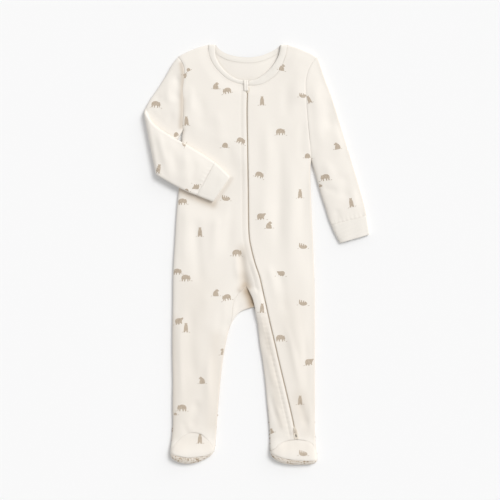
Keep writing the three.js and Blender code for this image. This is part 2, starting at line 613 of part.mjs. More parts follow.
// The neck band goes over both shoulders from one side of the zip to the other.
function neckBand() {
  const across = (a, b) => sample([a, b], 2);
  const folds = [
    { points: [neckLeft[0], LINE.bandLeft[0]] },
    { points: [neckRight[0], LINE.bandRight[0]] },
  ];
  const sheet = new Sheet();
  const strip = (seam, free, facing, height) =>
    sheet.add(patch(seam, free, across(seam[0], free[0]), across(seam.at(-1), free.at(-1))),
      facing, height);
  const high = (p) => upper(p, folds, { gap: 0 });
  strip(neckLeft, sample(LINE.bandLeft, 6, { start: ROUND }), 1, high);
  strip(neckRight, sample(LINE.bandRight, 6, { start: ROUND }), 1, high);
  strip(neckBack, sample(LINE.bandBack, 11, both), -1, (p) => under(p, folds, { gap: 0 }));
  return cloth(sheet);
}

// Feet

const FOOT_SIDES = {
  Left: { edges: EDGES.legLeft, heel: heelLeft, arch: vampLeft, sides: ["sideLeft", "innerLeft"] },
  Right: {
    edges: EDGES.footRight, heel: heelRight, arch: [...vampRightInner, ...vampRightOuter],
    sides: ["innerRight", "sideRight"],
  },
};
const soleEnds = { start: 8, end: 8 };

const soleSeam = (side) =>
  sample(LINE[`sole${side}`], FOOT_SIDES[side].heel.length - 5, soleEnds);

function vamp(side) {
  const { edges, arch } = FOOT_SIDES[side];
  const rim = LINE[`foot${side}`];
  const seam = soleSeam(side);
  const down = (i) => sample(part(rim, arch.at(i), seam.at(i)), 4);
  const rows = patch(arch, seam, down(0), down(-1));
  return cloth(new Sheet().add(rows, 1, (p) => upper(p, edges), edges), { thick: VAMP });
}

// The sole comes over the toes to its seam, and runs back under the foot to the heel.
function sole(side) {
  const { edges, heel, arch, sides } = FOOT_SIDES[side];
  const rim = LINE[`foot${side}`];
  const seam = soleSeam(side);
  const toeLine = part(rim, seam[0], seam.at(-1));
  const toe = sample(toeLine, heel.length - 5, soleEnds);
  const onToe = (p) => nearest([{ points: toeLine }], p).distance < 0.02;
  const gap = (p) => ({ gap: onToe(p) ? 0 : SEAM_GAP / 2 });
  const tip = (p) => [p, p, p, p, p];
  const upSide = (i) => {
    const above = between(LINE[sides.at(i)], heel.at(i)[1], -Infinity);
    return sample(joined(part(rim, toe.at(i), arch.at(i)), reversed(above)), 8);
  };
  const sheet = new Sheet();
  sheet.add(patch(seam, toe, tip(seam[0]), tip(seam.at(-1))), 1, (p) => upper(p, edges, gap(p)));
  sheet.add(patch(toe, heel, upSide(0), upSide(-1)), -1, (p) => under(p, edges, gap(p)), edges);
  return cloth(sheet);
}

// The zip

function tape(side) {
  const line = LINE.zip.slice(1, -3);
  const near = sample(beside(line, (side * ZIP.tapeGap) / 2), 22);
  const far = sample(beside(line, side * (ZIP.tapeGap / 2 + ZIP.tapeWidth)), 22);
  const rows = near.map((p, i) => [p, far[i]]);
  return cloth(new Sheet().add(rows, 1, () => ZIP.tapeTop), { thick: ZIP.tape });
}

// A slider: its plate on the cloth, a neck down through the slit, and a plate under the tapes.
// The lower one has a bridge over the pin of its pull tab. Local y runs up the zip.
const SLIDER = {
  wide: 6.2, long: 10.5, corner: 2, plate: [7.7, 9], neck: [3.8, 7.8], underPlate: [2.6, 3.9],
  neckWide: 1.4, neckLong: 5,
};
const BRIDGE = { wide: 1.6, inside: 5.4, post: 1.2, opening: 2.4, bar: 1 };
const TAB = {
  wide: 6.9, thick: 1.2, arm: 1.4, pin: 1.2, eye: 4.4, bar: 2, hole: 5.4, holeWide: 3.2, end: 3.8,
};
const GUARD = { thick: 1.4, low: 9.1, high: 10.7, rise: 3.2, down: 9 };
const PLACES = { sliderTop: yOf(90.2), sliderBottom: yOf(429.8) }; // heights along the zip
const tabHeight = SLIDER.plate[1] + BRIDGE.opening / 2; // the pin's middle

// A rounded rectangle's corners, counterclockwise.
function rounded(wide, long, radius, middle = 0) {
  const out = [];
  for (const [sx, sy, from] of [[1, 1, 0], [-1, 1, 90], [-1, -1, 180], [1, -1, 270]])
    for (const step of [0, 30, 60, 90]) {
      const a = ((from + step) * Math.PI) / 180;
      out.push([sx * (wide / 2 - radius) + radius * Math.cos(a),
        middle + sy * (long / 2 - radius) + radius * Math.sin(a)]);
    }
  return out;
}

const wasm = await Module();
wasm.setup();

const solidOf = ({ attributes, index }) => new wasm.Manifold(new wasm.Mesh({
  numProp: 3,
  vertProperties: attributes.position.array,
  triVerts: Uint32Array.from(index.array),
}));

function geometryOf(solid) {
  const { vertProperties, triVerts } = solid.getMesh();
  const made = new THREE.BufferGeometry();
  made.setAttribute("position", new THREE.Float32BufferAttribute(vertProperties, 3));
  made.setIndex([...triVerts]);
  return made;
}

// A solid from an outline and its holes, between two heights.
function prism(outlines, [low, high]) {
  const [outline, ...holes] = outlines.map((list) => list.map(([x, y]) => new THREE.Vector2(x, y)));
  const shape = new THREE.Shape(outline);
  shape.holes = holes.map((hole) => new THREE.Path(hole));
  const made = new THREE.ExtrudeGeometry(shape, { depth: high - low, bevelEnabled: false });
  made.deleteAttribute("normal");
  made.deleteAttribute("uv");
  return solidOf(mergeVertices(made.translate(0, 0, low), 1e-5));
}

const block = (wide, from, to, heights) =>
  prism([[[-wide / 2, from], [wide / 2, from], [wide / 2, to], [-wide / 2, to]]], heights);

// The solid's geometry, turned to run along the zip at a place on it.
function placed(solid, height) {
  const middle = yAt(LINE.zip, height);
  const low = yAt(LINE.zip, middle[1] - 10);
  const high = yAt(LINE.zip, middle[1] + (middle[1] > yOf(95) ? -2 : 10));
  const made = geometryOf(solid);
  made.rotateZ(Math.atan2(low[0] - high[0], high[1] - low[1]));
  made.translate(...middle, 0);
  return made.toNonIndexed();
}

function sliderBody() {
  const { wide, long, corner, neckWide, neckLong } = SLIDER;
  const outline = rounded(wide, long, corner);
  return prism([outline], SLIDER.plate)
    .add(block(neckWide, -neckLong / 2, neckLong / 2, SLIDER.neck))
    .add(prism([outline], SLIDER.underPlate));
}

function sliderBottom() {
  const base = SLIDER.plate[1];
  const under = base + BRIDGE.opening;
  const inside = BRIDGE.inside / 2;
  const outside = inside + BRIDGE.post;
  const solid = sliderBody()
    .add(block(BRIDGE.wide, inside, outside, [base - 0.2, under + BRIDGE.bar]))
    .add(block(BRIDGE.wide, -outside, -inside, [base - 0.2, under + BRIDGE.bar]))
    .add(block(BRIDGE.wide, -outside, outside, [under, under + BRIDGE.bar]));
  return placed(solid, PLACES.sliderBottom);
}

// The upper slider is under the guard; only its nose shows.
function sliderTop() {
  const nose = block(2.4, -SLIDER.long / 2 + 0.6, -SLIDER.long / 2 + 2.6, [8.8, 10.2]);
  return placed(sliderBody().add(nose), PLACES.sliderTop);
}

function pullTab() {
  const { wide, arm, pin, eye, bar, hole, holeWide, end } = TAB;
  const long = pin + eye + bar + hole + end;
  const top = pin / 2;
  const heights = [tabHeight - TAB.thick / 2, tabHeight + TAB.thick / 2];
  const outline = rounded(wide, long, 1.4, top - long / 2);
  const eyeHole = rounded(wide - 2 * arm, eye, 0.5, top - pin - eye / 2);
  const gripHole = rounded(holeWide, hole, 1.2, top - pin - eye - bar - hole / 2);
  return placed(prism([outline, eyeHole, gripHole], heights), PLACES.sliderBottom);
}

// A fold of cloth over the zip's top end.
function zipGuard() {
  const corners = [[243.3, 80.2], [248.5, 80.2], [248.5, 91.2], [243.3, 91.2]].map(toMm);
  const [a, b, c, d] = corners;
  const rows = patch(sample([a, b], 6), sample([d, c], 6), sample([a, d], 7), sample([b, c], 7));
  const height = (p) => GUARD.low + (GUARD.high - GUARD.low)
    * ramp((p[0] - a[0]) / GUARD.rise) * ramp((a[1] - p[1]) / GUARD.down);
  return cloth(new Sheet().add(rows, 1, height), { thick: GUARD.thick });
}

// The left front and the back are divided where the legs begin, so that each is a simple shape.
const LEGS = { top: yOf(330), middle: toMm([244, 330])[0], far: 500 };
const REGIONS = {
  torso: [[-LEGS.far, LEGS.far], [LEGS.far, LEGS.top + SEAM_GAP / 2]],
  left: [[-LEGS.far, LEGS.top - SEAM_GAP / 2], [LEGS.middle, -LEGS.far]],
  right: [[LEGS.middle, LEGS.top - SEAM_GAP / 2], [LEGS.far, -LEGS.far]],
};

// The part of a panel that lies in a region.
function within(made, [[left, top], [right, bottom]]) {
  const outline = [[left, bottom], [right, bottom], [right, top], [left, top]];
  const kept = geometryOf(solidOf(made).intersect(prism([outline], [-5, 30])));
  kept.computeVertexNormals();
  return kept;
}

const colour = {
  cotton: 0xf6efe4,
  rib: 0xf1e8db,
  sole: 0xe9dcc9,
  tape: 0xc3a67e,
  metal: 0xcdb79a,
};

const NODES = [
  ["front_left", () => within(frontLeft(), REGIONS.torso), colour.cotton],
  ["front_leg_left", () => within(frontLeft(), REGIONS.left), colour.cotton],
  ["front_placket", () => within(frontLeft(), REGIONS.right), colour.cotton],
  ["front_right", frontRight, colour.cotton],
  ["back", () => within(back(), REGIONS.torso), colour.cotton],
  ["back_leg_left", () => within(back(), REGIONS.left), colour.cotton],
  ["back_leg_right", () => within(back(), REGIONS.right), colour.cotton],
  ["gusset", gusset, colour.cotton],
  ["sleeve_left", sleeveLeft, colour.cotton],
  ["sleeve_right", sleeveRight, colour.cotton],
  ["cuff_left", () => cuff("Left", 2 * BEND.axis - LAID.top), colour.rib],
  ["cuff_right", () => cuff("Right", 0), colour.rib],
  ["neck_band", neckBand, colour.rib],
  ["vamp_left", () => vamp("Left"), colour.cotton],
  ["vamp_right", () => vamp("Right"), colour.cotton],
  ["sole_left", () => sole("Left"), colour.sole],
  ["sole_right", () => sole("Right"), colour.sole],
  ["zip_tape_left", () => tape(-1), colour.tape],
  ["zip_tape_right", () => tape(1), colour.tape],
  ["zip_guard", zipGuard, colour.cotton],
  ["slider_top", sliderTop, colour.metal],
  ["slider_bottom", sliderBottom, colour.metal],
  ["pull_tab", pullTab, colour.metal],
];

const garment = new THREE.Group();
for (const [name, make, color] of NODES) {
  const mesh = new THREE.Mesh(make(), new THREE.MeshStandardMaterial({ color, roughness: 0.9 }));
  mesh.name = name;
  garment.add(mesh);
}

export default garment;
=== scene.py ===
"""A footed baby sleepsuit laid flat: cloth, seams, print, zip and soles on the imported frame."""
import math
import random

import bpy
import numpy as np
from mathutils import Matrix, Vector
from mathutils.bvhtree import BVHTree
from mathutils.geometry import delaunay_2d_cdt
from mathutils.kdtree import KDTree


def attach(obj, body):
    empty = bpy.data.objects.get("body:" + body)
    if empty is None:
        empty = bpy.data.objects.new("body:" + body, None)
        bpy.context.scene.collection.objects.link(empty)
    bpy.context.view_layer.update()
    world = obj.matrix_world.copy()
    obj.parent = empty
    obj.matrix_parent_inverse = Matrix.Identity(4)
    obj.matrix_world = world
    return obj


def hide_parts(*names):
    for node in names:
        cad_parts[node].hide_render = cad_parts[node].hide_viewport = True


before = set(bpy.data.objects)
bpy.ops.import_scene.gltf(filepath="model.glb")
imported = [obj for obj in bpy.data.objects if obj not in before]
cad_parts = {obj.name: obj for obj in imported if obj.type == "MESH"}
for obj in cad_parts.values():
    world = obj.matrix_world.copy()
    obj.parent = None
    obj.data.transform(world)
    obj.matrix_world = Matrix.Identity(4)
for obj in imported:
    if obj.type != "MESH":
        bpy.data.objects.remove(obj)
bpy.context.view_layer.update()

# Sizes in millimetres. Rows are in the photo's pixels, and px() turns them into the frame.
MM_PER_PX = 740 / 421
PHOTO_MIDDLE = (256.6516, 254.5876)
CLOTH = 1.0
TOP = 7.4
SEAM = 3.7
FLOOR = 0.3  # the cloth's lowest face, above the surface
FOOT = {"top": 14.0, "seam": 6.2, "round": 8.5, "round_under": 6.0, "from": 437, "full": 455}
ROUND = 5.2  # radius of the laid garment's soft edges
LOFT = 2.0  # how far the cloth swells inside its edges
SLIT = 1.9  # between the two fronts at the zip
BEND_AXIS = 7.8
MIRROR = (BEND_AXIS - SEAM) * math.pi / 2
ELBOW = {"at": (143.7, 114.0), "along": (0.193, 0.981)}

ROWS = {
    "shoulder_left": [(208.8, 44.4), (202, 46.2), (195, 48.5), (186, 52.3), (178, 56.6)],
    "shoulder_right": [(287.2, 44.6), (294, 46.6), (302, 49.6), (310, 53.2), (317.4, 57.4)],
    "armhole_left": [(178, 56.6), (181, 60.4), (183.8, 66), (184.6, 74), (183.6, 82), (182.6, 90),
                     (183.4, 99), (183.6, 112), (183, 122), (182.8, 130.4)],
    "armhole_right": [(317.4, 57.4), (314.4, 60), (311, 65), (307.6, 73), (305.8, 82), (305.8, 92),
                      (307, 110), (308.6, 128), (310, 144), (310.8, 153), (311.2, 159.8)],
    "side_left": [(182.8, 130.4), (181.6, 140), (180.6, 155), (179.8, 172), (178.6, 190), (177, 208),
                  (175.8, 226), (174.8, 244), (173.6, 262), (173, 282), (172.8, 306), (172.3, 332),
                  (172.3, 356), (172.8, 380), (172.5, 406), (172.8, 426), (171.6, 440), (170.4, 449.6)],
    "side_right": [(311.2, 159.8), (310.4, 172), (311.2, 196), (312, 218), (313, 238), (313.9, 262),
                   (314.8, 288), (315, 320), (315, 360), (315, 400), (315, 430), (315.6, 442),
                   (316.4, 449.4)],
    "inner_left": [(229.6, 328), (228, 333.4), (226.6, 340), (225, 348), (223.4, 357), (222, 368),
                   (220.4, 382), (219, 398), (217.8, 412), (216.8, 426), (216, 438), (214.8, 449.8)],
    "crotch": [(253, 307.4), (249.5, 308.4), (244.6, 310), (240.2, 312.3), (236.2, 316.2),
               (232.4, 322), (229.6, 328)],
    "inner_right": [(253, 307.4), (255.2, 311.6), (256.2, 317), (257.6, 324), (258.8, 334),
                    (260.2, 346), (262, 356), (264, 370), (265.6, 384), (267, 400), (268.6, 416),
                    (269.8, 432), (270.2, 444), (270.3, 450.6)],
    "strip": [(246, 286), (248.6, 290.4), (251, 295), (253, 300), (254.4, 306), (256.2, 317),
              (257.6, 324), (258.8, 334), (260.2, 346), (262, 356), (264, 370), (265.6, 384),
              (267, 400), (268.6, 416), (269.8, 432), (270.2, 444), (270.3, 450.6)],
    "gusset_seam": [(246, 286), (242.4, 289.6), (238.6, 293.4), (235.2, 297.6), (233.6, 301),
                    (232.4, 306), (231.9, 312), (231.4, 318.7), (230.6, 324), (229.6, 328)],
    "gusset_hidden": [(246, 286), (252.6, 292.4), (256, 299), (255.4, 306.6), (253, 307.4)],
    "neck_left": [(208.8, 44.4), (208.4, 50), (209.2, 55.8), (213.2, 64.6), (220.4, 73.4),
                  (228.4, 79.8), (238, 83.8)],
    "neck_right": [(287.2, 44.6), (286.4, 52), (284.4, 59), (281.2, 66.8), (277.2, 73.4),
                   (270, 79.8), (262, 84.2), (255, 85.7)],
    "neck_back": [(208.8, 44.4), (212, 48.4), (216, 52.4), (222, 57), (230, 60.4), (239.6, 62.2),
                  (249, 62.8), (258, 61.8), (266, 59.4), (273, 56), (279, 52.2), (283.6, 48.4),
                  (287.2, 44.6)],
    "band_left": [(215.6, 44.4), (215.2, 51), (216.4, 58), (222, 67.4), (229.8, 74.6), (237.6, 79),
                  (246.2, 80.4)],
    "band_right": [(280.6, 44.6), (279.8, 50), (278.6, 55), (274.8, 62.2), (268.4, 70.2),
                   (259.6, 77), (254, 79.6), (249.1, 80.4)],
    "band_back": [(215.6, 44.4), (218.6, 48), (223, 51.6), (230, 54.6), (238, 56.4), (249.2, 57.2),
                  (256, 56.4), (262.4, 55), (271.6, 51), (276.8, 48), (280.6, 44.6)],
    "zip": [(247.7, 85.3), (247, 110), (247.6, 150), (248.2, 190), (248.7, 228), (249.6, 240),
            (251.6, 250), (255, 263), (259.7, 277), (262.2, 288), (265.8, 304), (270, 323),
            (274.5, 342), (280.5, 368), (286.5, 393), (292.5, 419), (296.6, 439.4)],
    "sleeve_right_outer": [(317.4, 57.4), (319.8, 64), (322, 70.6), (326.4, 83), (331, 95),
                           (335, 107), (338.6, 119), (342.2, 131), (346, 143), (349.8, 155),
                           (353.4, 167), (357, 179), (360.4, 191), (363.8, 203), (366.6, 215.6)],
    "sleeve_right_inner": [(311.2, 159.8), (313, 166), (315.2, 173), (318.4, 185), (322, 197),
                           (326, 209), (329, 219), (331.2, 224.8)],
    "cuff_right_outer": [(366.4, 215.8), (368, 225), (369.5, 234.6)],
    "cuff_right_inner": [(331.6, 224.8), (335, 233.6), (340.2, 243.2)],
    "upper_arm_outer": [(178, 56.6), (172.4, 64), (165.8, 75.6), (158, 88), (149.8, 100),
                        (143.4, 112.6)],
    "upper_arm_inner": [(182.8, 130.4), (180, 135.6), (176.6, 141.4), (168.4, 156), (160.4, 169)],
    "forearm_outer": [(154.3, 124.6), (164, 131.8), (174.7, 138.4), (184, 143.4), (199, 152.3),
                      (214.8, 162.6)],
    "forearm_inner": [(166, 180.6), (180.3, 188.4), (189, 192.6), (197, 195.6)],
    "cuff_left_outer": [(214.9, 163), (222.4, 169.6), (230, 177.2)],
    "cuff_left_inner": [(197.6, 195.6), (205.4, 199), (213, 202)],
    "vamp_left": [(170.4, 449.6), (172.6, 446.8), (176.6, 442), (181.6, 437.6), (188, 433.4),
                  (194.8, 432.4), (201.4, 434.2), (207.4, 439.6), (211.6, 445), (214.8, 449.8)],
    "vamp_right": [(270.3, 450.6), (274.4, 448.4), (279, 444.2), (285, 441.2), (290, 440),
                   (296.6, 439.4), (303, 440), (309, 441.8), (313, 444.8), (316.4, 449.4)],
    "sole_left": [(170.2, 453), (174, 454.2), (180, 455.6), (187.6, 456.8), (195, 456.4),
                  (203, 455.6), (209, 453.8), (214.1, 451.4)],
    "sole_right": [(270.6, 453.8), (275.2, 454.6), (281, 456.8), (290, 458.8), (301.6, 459.9),
                   (309, 460.2), (317.5, 459.4)],
    "toe_left": [(170.2, 453), (170.8, 456.4), (173, 459.4), (177.4, 462), (183, 463.4),
                 (189, 463.8), (196, 462.8), (202.6, 460.4), (208.2, 457.6), (211.8, 454.8),
                 (214.1, 451.4)],
    "toe_right": [(270.6, 453.8), (272.4, 457.2), (276, 460.4), (282, 463), (290, 464.6),
                  (298, 464.8), (306, 464.6), (312, 464.2), (315.8, 462.6), (317.5, 459.4)],
    "heel_left": [(172.5, 410), (176, 404.4), (183, 400), (194.6, 398), (206, 399.6),
                  (213.6, 403.6), (218, 409.4)],
    "heel_right": [(268, 410), (272.6, 403.6), (280, 399.6), (292, 398), (303.6, 400),
                   (311, 404.6), (315, 410)],
}

# Soft folds: where each runs, its half width and its height (a trough is below 0), in mm.
FRONT_FOLDS = [
    # line, half width, height
    ([(266, 112), (267, 160), (265, 205), (262, 250)], 11, 1.5),
    ([(279, 135), (280, 180), (279, 215), (277, 262)], 9, -1.5),
    ([(291, 150), (292, 200), (290, 250), (292, 290)], 10, 1.1),
    ([(303, 175), (303, 230), (304, 280)], 8, -0.9),
    ([(228, 140), (229, 165), (230, 190)], 9, -1.2),
    ([(232, 196), (230, 225), (226, 262)], 9, -1.1),
    ([(217, 205), (215, 235), (213, 268)], 9, 1.2),
    ([(197, 212), (196, 235), (198, 262), (200, 290)], 9, -1.7),
    ([(186, 204), (185, 235), (184, 268)], 8, 0.9),
    ([(190, 84), (191, 98), (190, 118)], 7, 1.3),
    ([(200, 92), (202, 112), (203, 132)], 9, -0.9),
    ([(216, 108), (220, 130), (222, 148)], 10, 0.8),
    ([(300, 62), (298, 84), (300, 108)], 12, 1.4),
    ([(288, 78), (286, 100), (287, 124)], 9, -1.0),
    ([(304, 118), (301, 142), (302, 162)], 7, -0.8),
    ([(240.5, 248), (242, 262), (244, 276), (245.6, 290)], 6.5, -3.4),
    ([(236, 254), (236.6, 268), (239.6, 282)], 5, 0.8),
    ([(252, 256), (254.5, 268), (257, 280)], 4.5, 0.9),
    ([(208, 288), (205, 310), (203, 334)], 12, 0.9),
    ([(192, 300), (190, 330), (192, 362), (196, 392)], 10, -1.5),
    ([(180, 312), (180, 345), (181, 380), (182, 415)], 6, 1.0),
    ([(210, 345), (208, 375), (209, 402), (207, 428)], 8, 1.5),
    ([(198, 398), (195, 414), (190, 430)], 8, -1.5),
    ([(183, 420), (186, 430), (190, 436)], 6, -1.0),
    ([(222, 300), (220, 322), (217, 345)], 7, -0.8),
    ([(268, 262), (272, 280), (276, 300)], 7, 1.1),
    ([(279, 268), (283, 292), (285, 318)], 8, -1.2),
    ([(294, 300), (296, 328), (298, 356)], 10, 1.2),
    ([(284, 318), (291, 345), (297, 372), (302, 398)], 6, 1.3),
    ([(305, 330), (306, 362), (307, 395)], 6, -1.1),
    ([(297, 398), (303, 414), (306, 430)], 6, -1.7),
    ([(310, 400), (311, 420), (311, 436)], 5, 1.0),
    ([(268, 388), (273, 408), (280, 428)], 4.5, -1.2),
    ([(276, 404), (281, 420), (285, 432)], 3.5, 1.1),
    ([(266, 352), (271, 372), (276, 390)], 4.5, 1.0),
    ([(262, 326), (266, 344), (270, 360)], 3.5, -0.9),
]
SLEEVE_RIGHT_FOLDS = [
    ([(315, 82), (316, 105), (319, 132), (322, 152)], 9, 1.4),
    ([(327, 96), (328, 116), (333, 134)], 8, -1.4),
    ([(332, 118), (338, 138), (342, 158)], 8, 0.9),
    ([(324, 158), (331, 176), (338, 196)], 9, 1.0),
    ([(343, 172), (346, 186), (344, 202)], 9, -1.1),
    ([(322, 186), (330, 190), (340, 190)], 6, -0.8),
    ([(352, 188), (355, 202), (356, 213)], 6, 0.8),
    ([(336, 208), (338, 216), (340, 222)], 5, -0.8),
]
UPPER_ARM_FOLDS = [
    ([(176.5, 72), (177.5, 88), (176, 104)], 6, -1.8),
    ([(169, 76), (168, 92), (169, 108)], 6, 1.1),
    ([(172, 110), (170, 120), (166, 130)], 6, -1.0),
    ([(160, 92), (157, 101), (158, 112)], 6, -0.9),
    ([(152, 106), (160, 116), (168, 124)], 4, 0.8),
]
FOREARM_FOLDS = [
    ([(149, 124), (152, 142), (158, 160)], 6, -1.5),
    ([(158, 134), (162, 150), (166, 168)], 7, 1.1),
    ([(172, 145), (174, 160), (176, 178)], 7, -1.0),
    ([(186, 152), (186, 168), (187, 184)], 8, 0.9),
    ([(197, 160), (194, 174), (192, 188)], 6, -0.8),
    ([(207, 166), (203, 176), (200, 186)], 4, 0.6),
]
BACK_FOLDS = [
    ([(205, 110), (208, 150), (206, 200)], 10, 1.2),
    ([(232, 90), (236, 140), (233, 190)], 9, 1.1),
    ([(262, 100), (259, 150), (263, 205)], 10, 1.3),
    ([(288, 120), (285, 165), (288, 215)], 9, 1.1),
    ([(196, 215), (200, 250), (197, 290)], 9, 1.3),
    ([(224, 205), (226, 240), (220, 280)], 9, 1.1),
    ([(254, 215), (252, 250), (256, 285)], 8, 1.2),
    ([(282, 225), (285, 262), (283, 300)], 9, 1.3),
    ([(194, 305), (198, 340), (194, 385)], 8, 1.2),
    ([(212, 330), (208, 360), (209, 395)], 6, 1.0),
    ([(284, 310), (288, 345), (286, 385)], 8, 1.3),
    ([(302, 320), (299, 355), (301, 390)], 6, 1.0),
    ([(216, 300), (228, 292), (244, 290)], 6, 1.2),
    ([(252, 294), (266, 298), (278, 306)], 6, 1.0),
]

# Painted shade: the cloth's colour is darkened near these lines, in dips, under overlaps and along some edges.
PAINTED_SHADES = [
    # piece, line (a row above or its own points), half width in mm, strength
    ("gusset", [(253, 304), (251.6, 298), (248.2, 291)], 11.5, 0.95),
    ("front_left", [(242, 250), (243, 262), (244.6, 276), (245.4, 286)], 10, 0.26),
    ("front_left", [(240, 290), (245.4, 285), (248.4, 287)], 6, 0.32),
    ("front_left", [(166, 183), (180.3, 190.6), (197, 198), (213, 204.6)], 7, 0.48),
    ("front_left", [(216, 202), (226, 188), (232, 178.6)], 3, 0.2),
    ("front_left", [(182.6, 132), (183, 120), (184, 100)], 4, 0.16),
    ("front_left", [(267, 322), (271, 346), (275.5, 372), (280.5, 398), (285.5, 420), (288.5, 436)], 12, 0.08),
    ("front_left", [(261, 330), (264, 366), (268, 410), (270.4, 440)], 5, 0.04),
    ("front_left", [(217, 338), (215, 380), (213, 424)], 13, 0.14),
    ("front_left", [(243, 276), (245.6, 284)], 9, 0.16),
    ("front_right", [(290, 310), (297, 360), (302, 410)], 34, 0.09),
    ("front_right", [(299, 398), (303, 416), (307, 432)], 13, 0.12),
    ("front_left", [(172.8, 320), (172.6, 356), (173, 400), (172, 436)], 9, 0.14),
    ("front_left", [(198, 290), (192, 350), (190, 424)], 34, 0.09),
    ("front_left", [(248.6, 150), (248.8, 228), (254, 263), (262, 288)], 5, 0.06),
    ("front_left", [(262, 318), (268, 350), (275, 390), (281, 425)], 8, 0.12),
    ("sleeve_left", [(181.4, 64), (183, 76), (182, 98), (181.8, 112), (181, 127)], 4.5, 0.46),
    ("vamp_left", [(176, 446), (195, 440), (212, 446)], 14, 0.11),
    ("vamp_right", [(276, 450), (295, 446), (312, 448)], 14, 0.11),
    ("front_right", "side_right", 3, 0.16),
    ("front_left", "inner_left", 3, 0.16),
    ("sleeve_right", "sleeve_right_outer", 3, 0.16),
    ("back", "side_right", 6, 0.5),
    ("back", "inner_left", 6, 0.5),
]

# The print: where each bear is on the photo, its pose, its turn in degrees and its size.
BEARS = [
    # x, y, pose, turn, size; a pose "_left" is the mirrored one
    (188.4, 70, "curled", 30, 0.62), (185.2, 76.2, "sitting", 200, 0.62),
    (216, 86, "sitting", 0, 0.98), (227, 91, "walking_left", 12, 0.92),
    (156, 104.5, "walking", -6, 1), (186.5, 121, "standing", 2, 0.95), (176, 134.6, "curled", 20, 0.8),
    (184, 144.8, "sitting", 70, 0.6), (225, 145.4, "curled", 0, 0.95), (241, 141, "walking", -22, 0.94),
    (262, 101, "standing", 0, 0.95), (282, 67.6, "sitting", -10, 0.9), (302.8, 95.6, "lying", 0, 0.86),
    (308.8, 99.6, "standing", 22, 0.8), (280.5, 132, "walking", 0, 1), (307.6, 156, "curled_left", 0, 0.92),
    (337, 146, "sitting_left", 12, 0.98), (259.5, 175, "walking", -18, 0.92),
    (325, 177.6, "walking_left", 8, 1), (320, 185.8, "sitting", -60, 0.62),
    (159, 169, "standing", -14, 0.95), (196, 187, "roaming", 172, 0.8), (186.6, 190.9, "curled", 10, 0.72),
    (182.6, 201.7, "walking", 2, 0.96), (226, 198, "lying", -2, 1), (300, 193.7, "standing", 0, 0.95),
    (351, 202.7, "standing", 10, 0.97), (261.4, 216.5, "roaming", 0, 1), (269, 225, "sitting", 0, 1),
    (200, 232, "standing", 0, 0.98), (303, 246, "lying", -2, 1), (237, 253, "walking", 0, 1.02),
    (177.6, 271.6, "walking", 0, 0.9), (186, 278, "walking", 0, 1), (280.7, 273.6, "rolled", 0, 0.95),
    (216, 292.6, "sitting", 0, 0.98), (226.6, 297.4, "walking_left", 12, 0.95),
    (262, 308, "standing", -2, 0.98), (303, 302.7, "lying", -2, 1), (179.4, 321, "roaming", 6, 0.98),
    (186, 327.5, "standing", -2, 0.98), (280.5, 338, "walking", 0, 1), (223.2, 351.6, "sitting_left", 0, 0.9),
    (309.4, 362, "roaming", 2, 1), (202, 380, "sitting_left", 4, 0.98), (300, 400, "standing", 0, 0.98),
    (182, 407.7, "walking_left", 0, 1.02), (175.4, 413.8, "curled", 0, 0.5),
    (271.4, 431, "sitting", 30, 0.7), (200, 438.5, "standing", -2, 0.98), (303, 452.4, "lying", -2, 1),
]
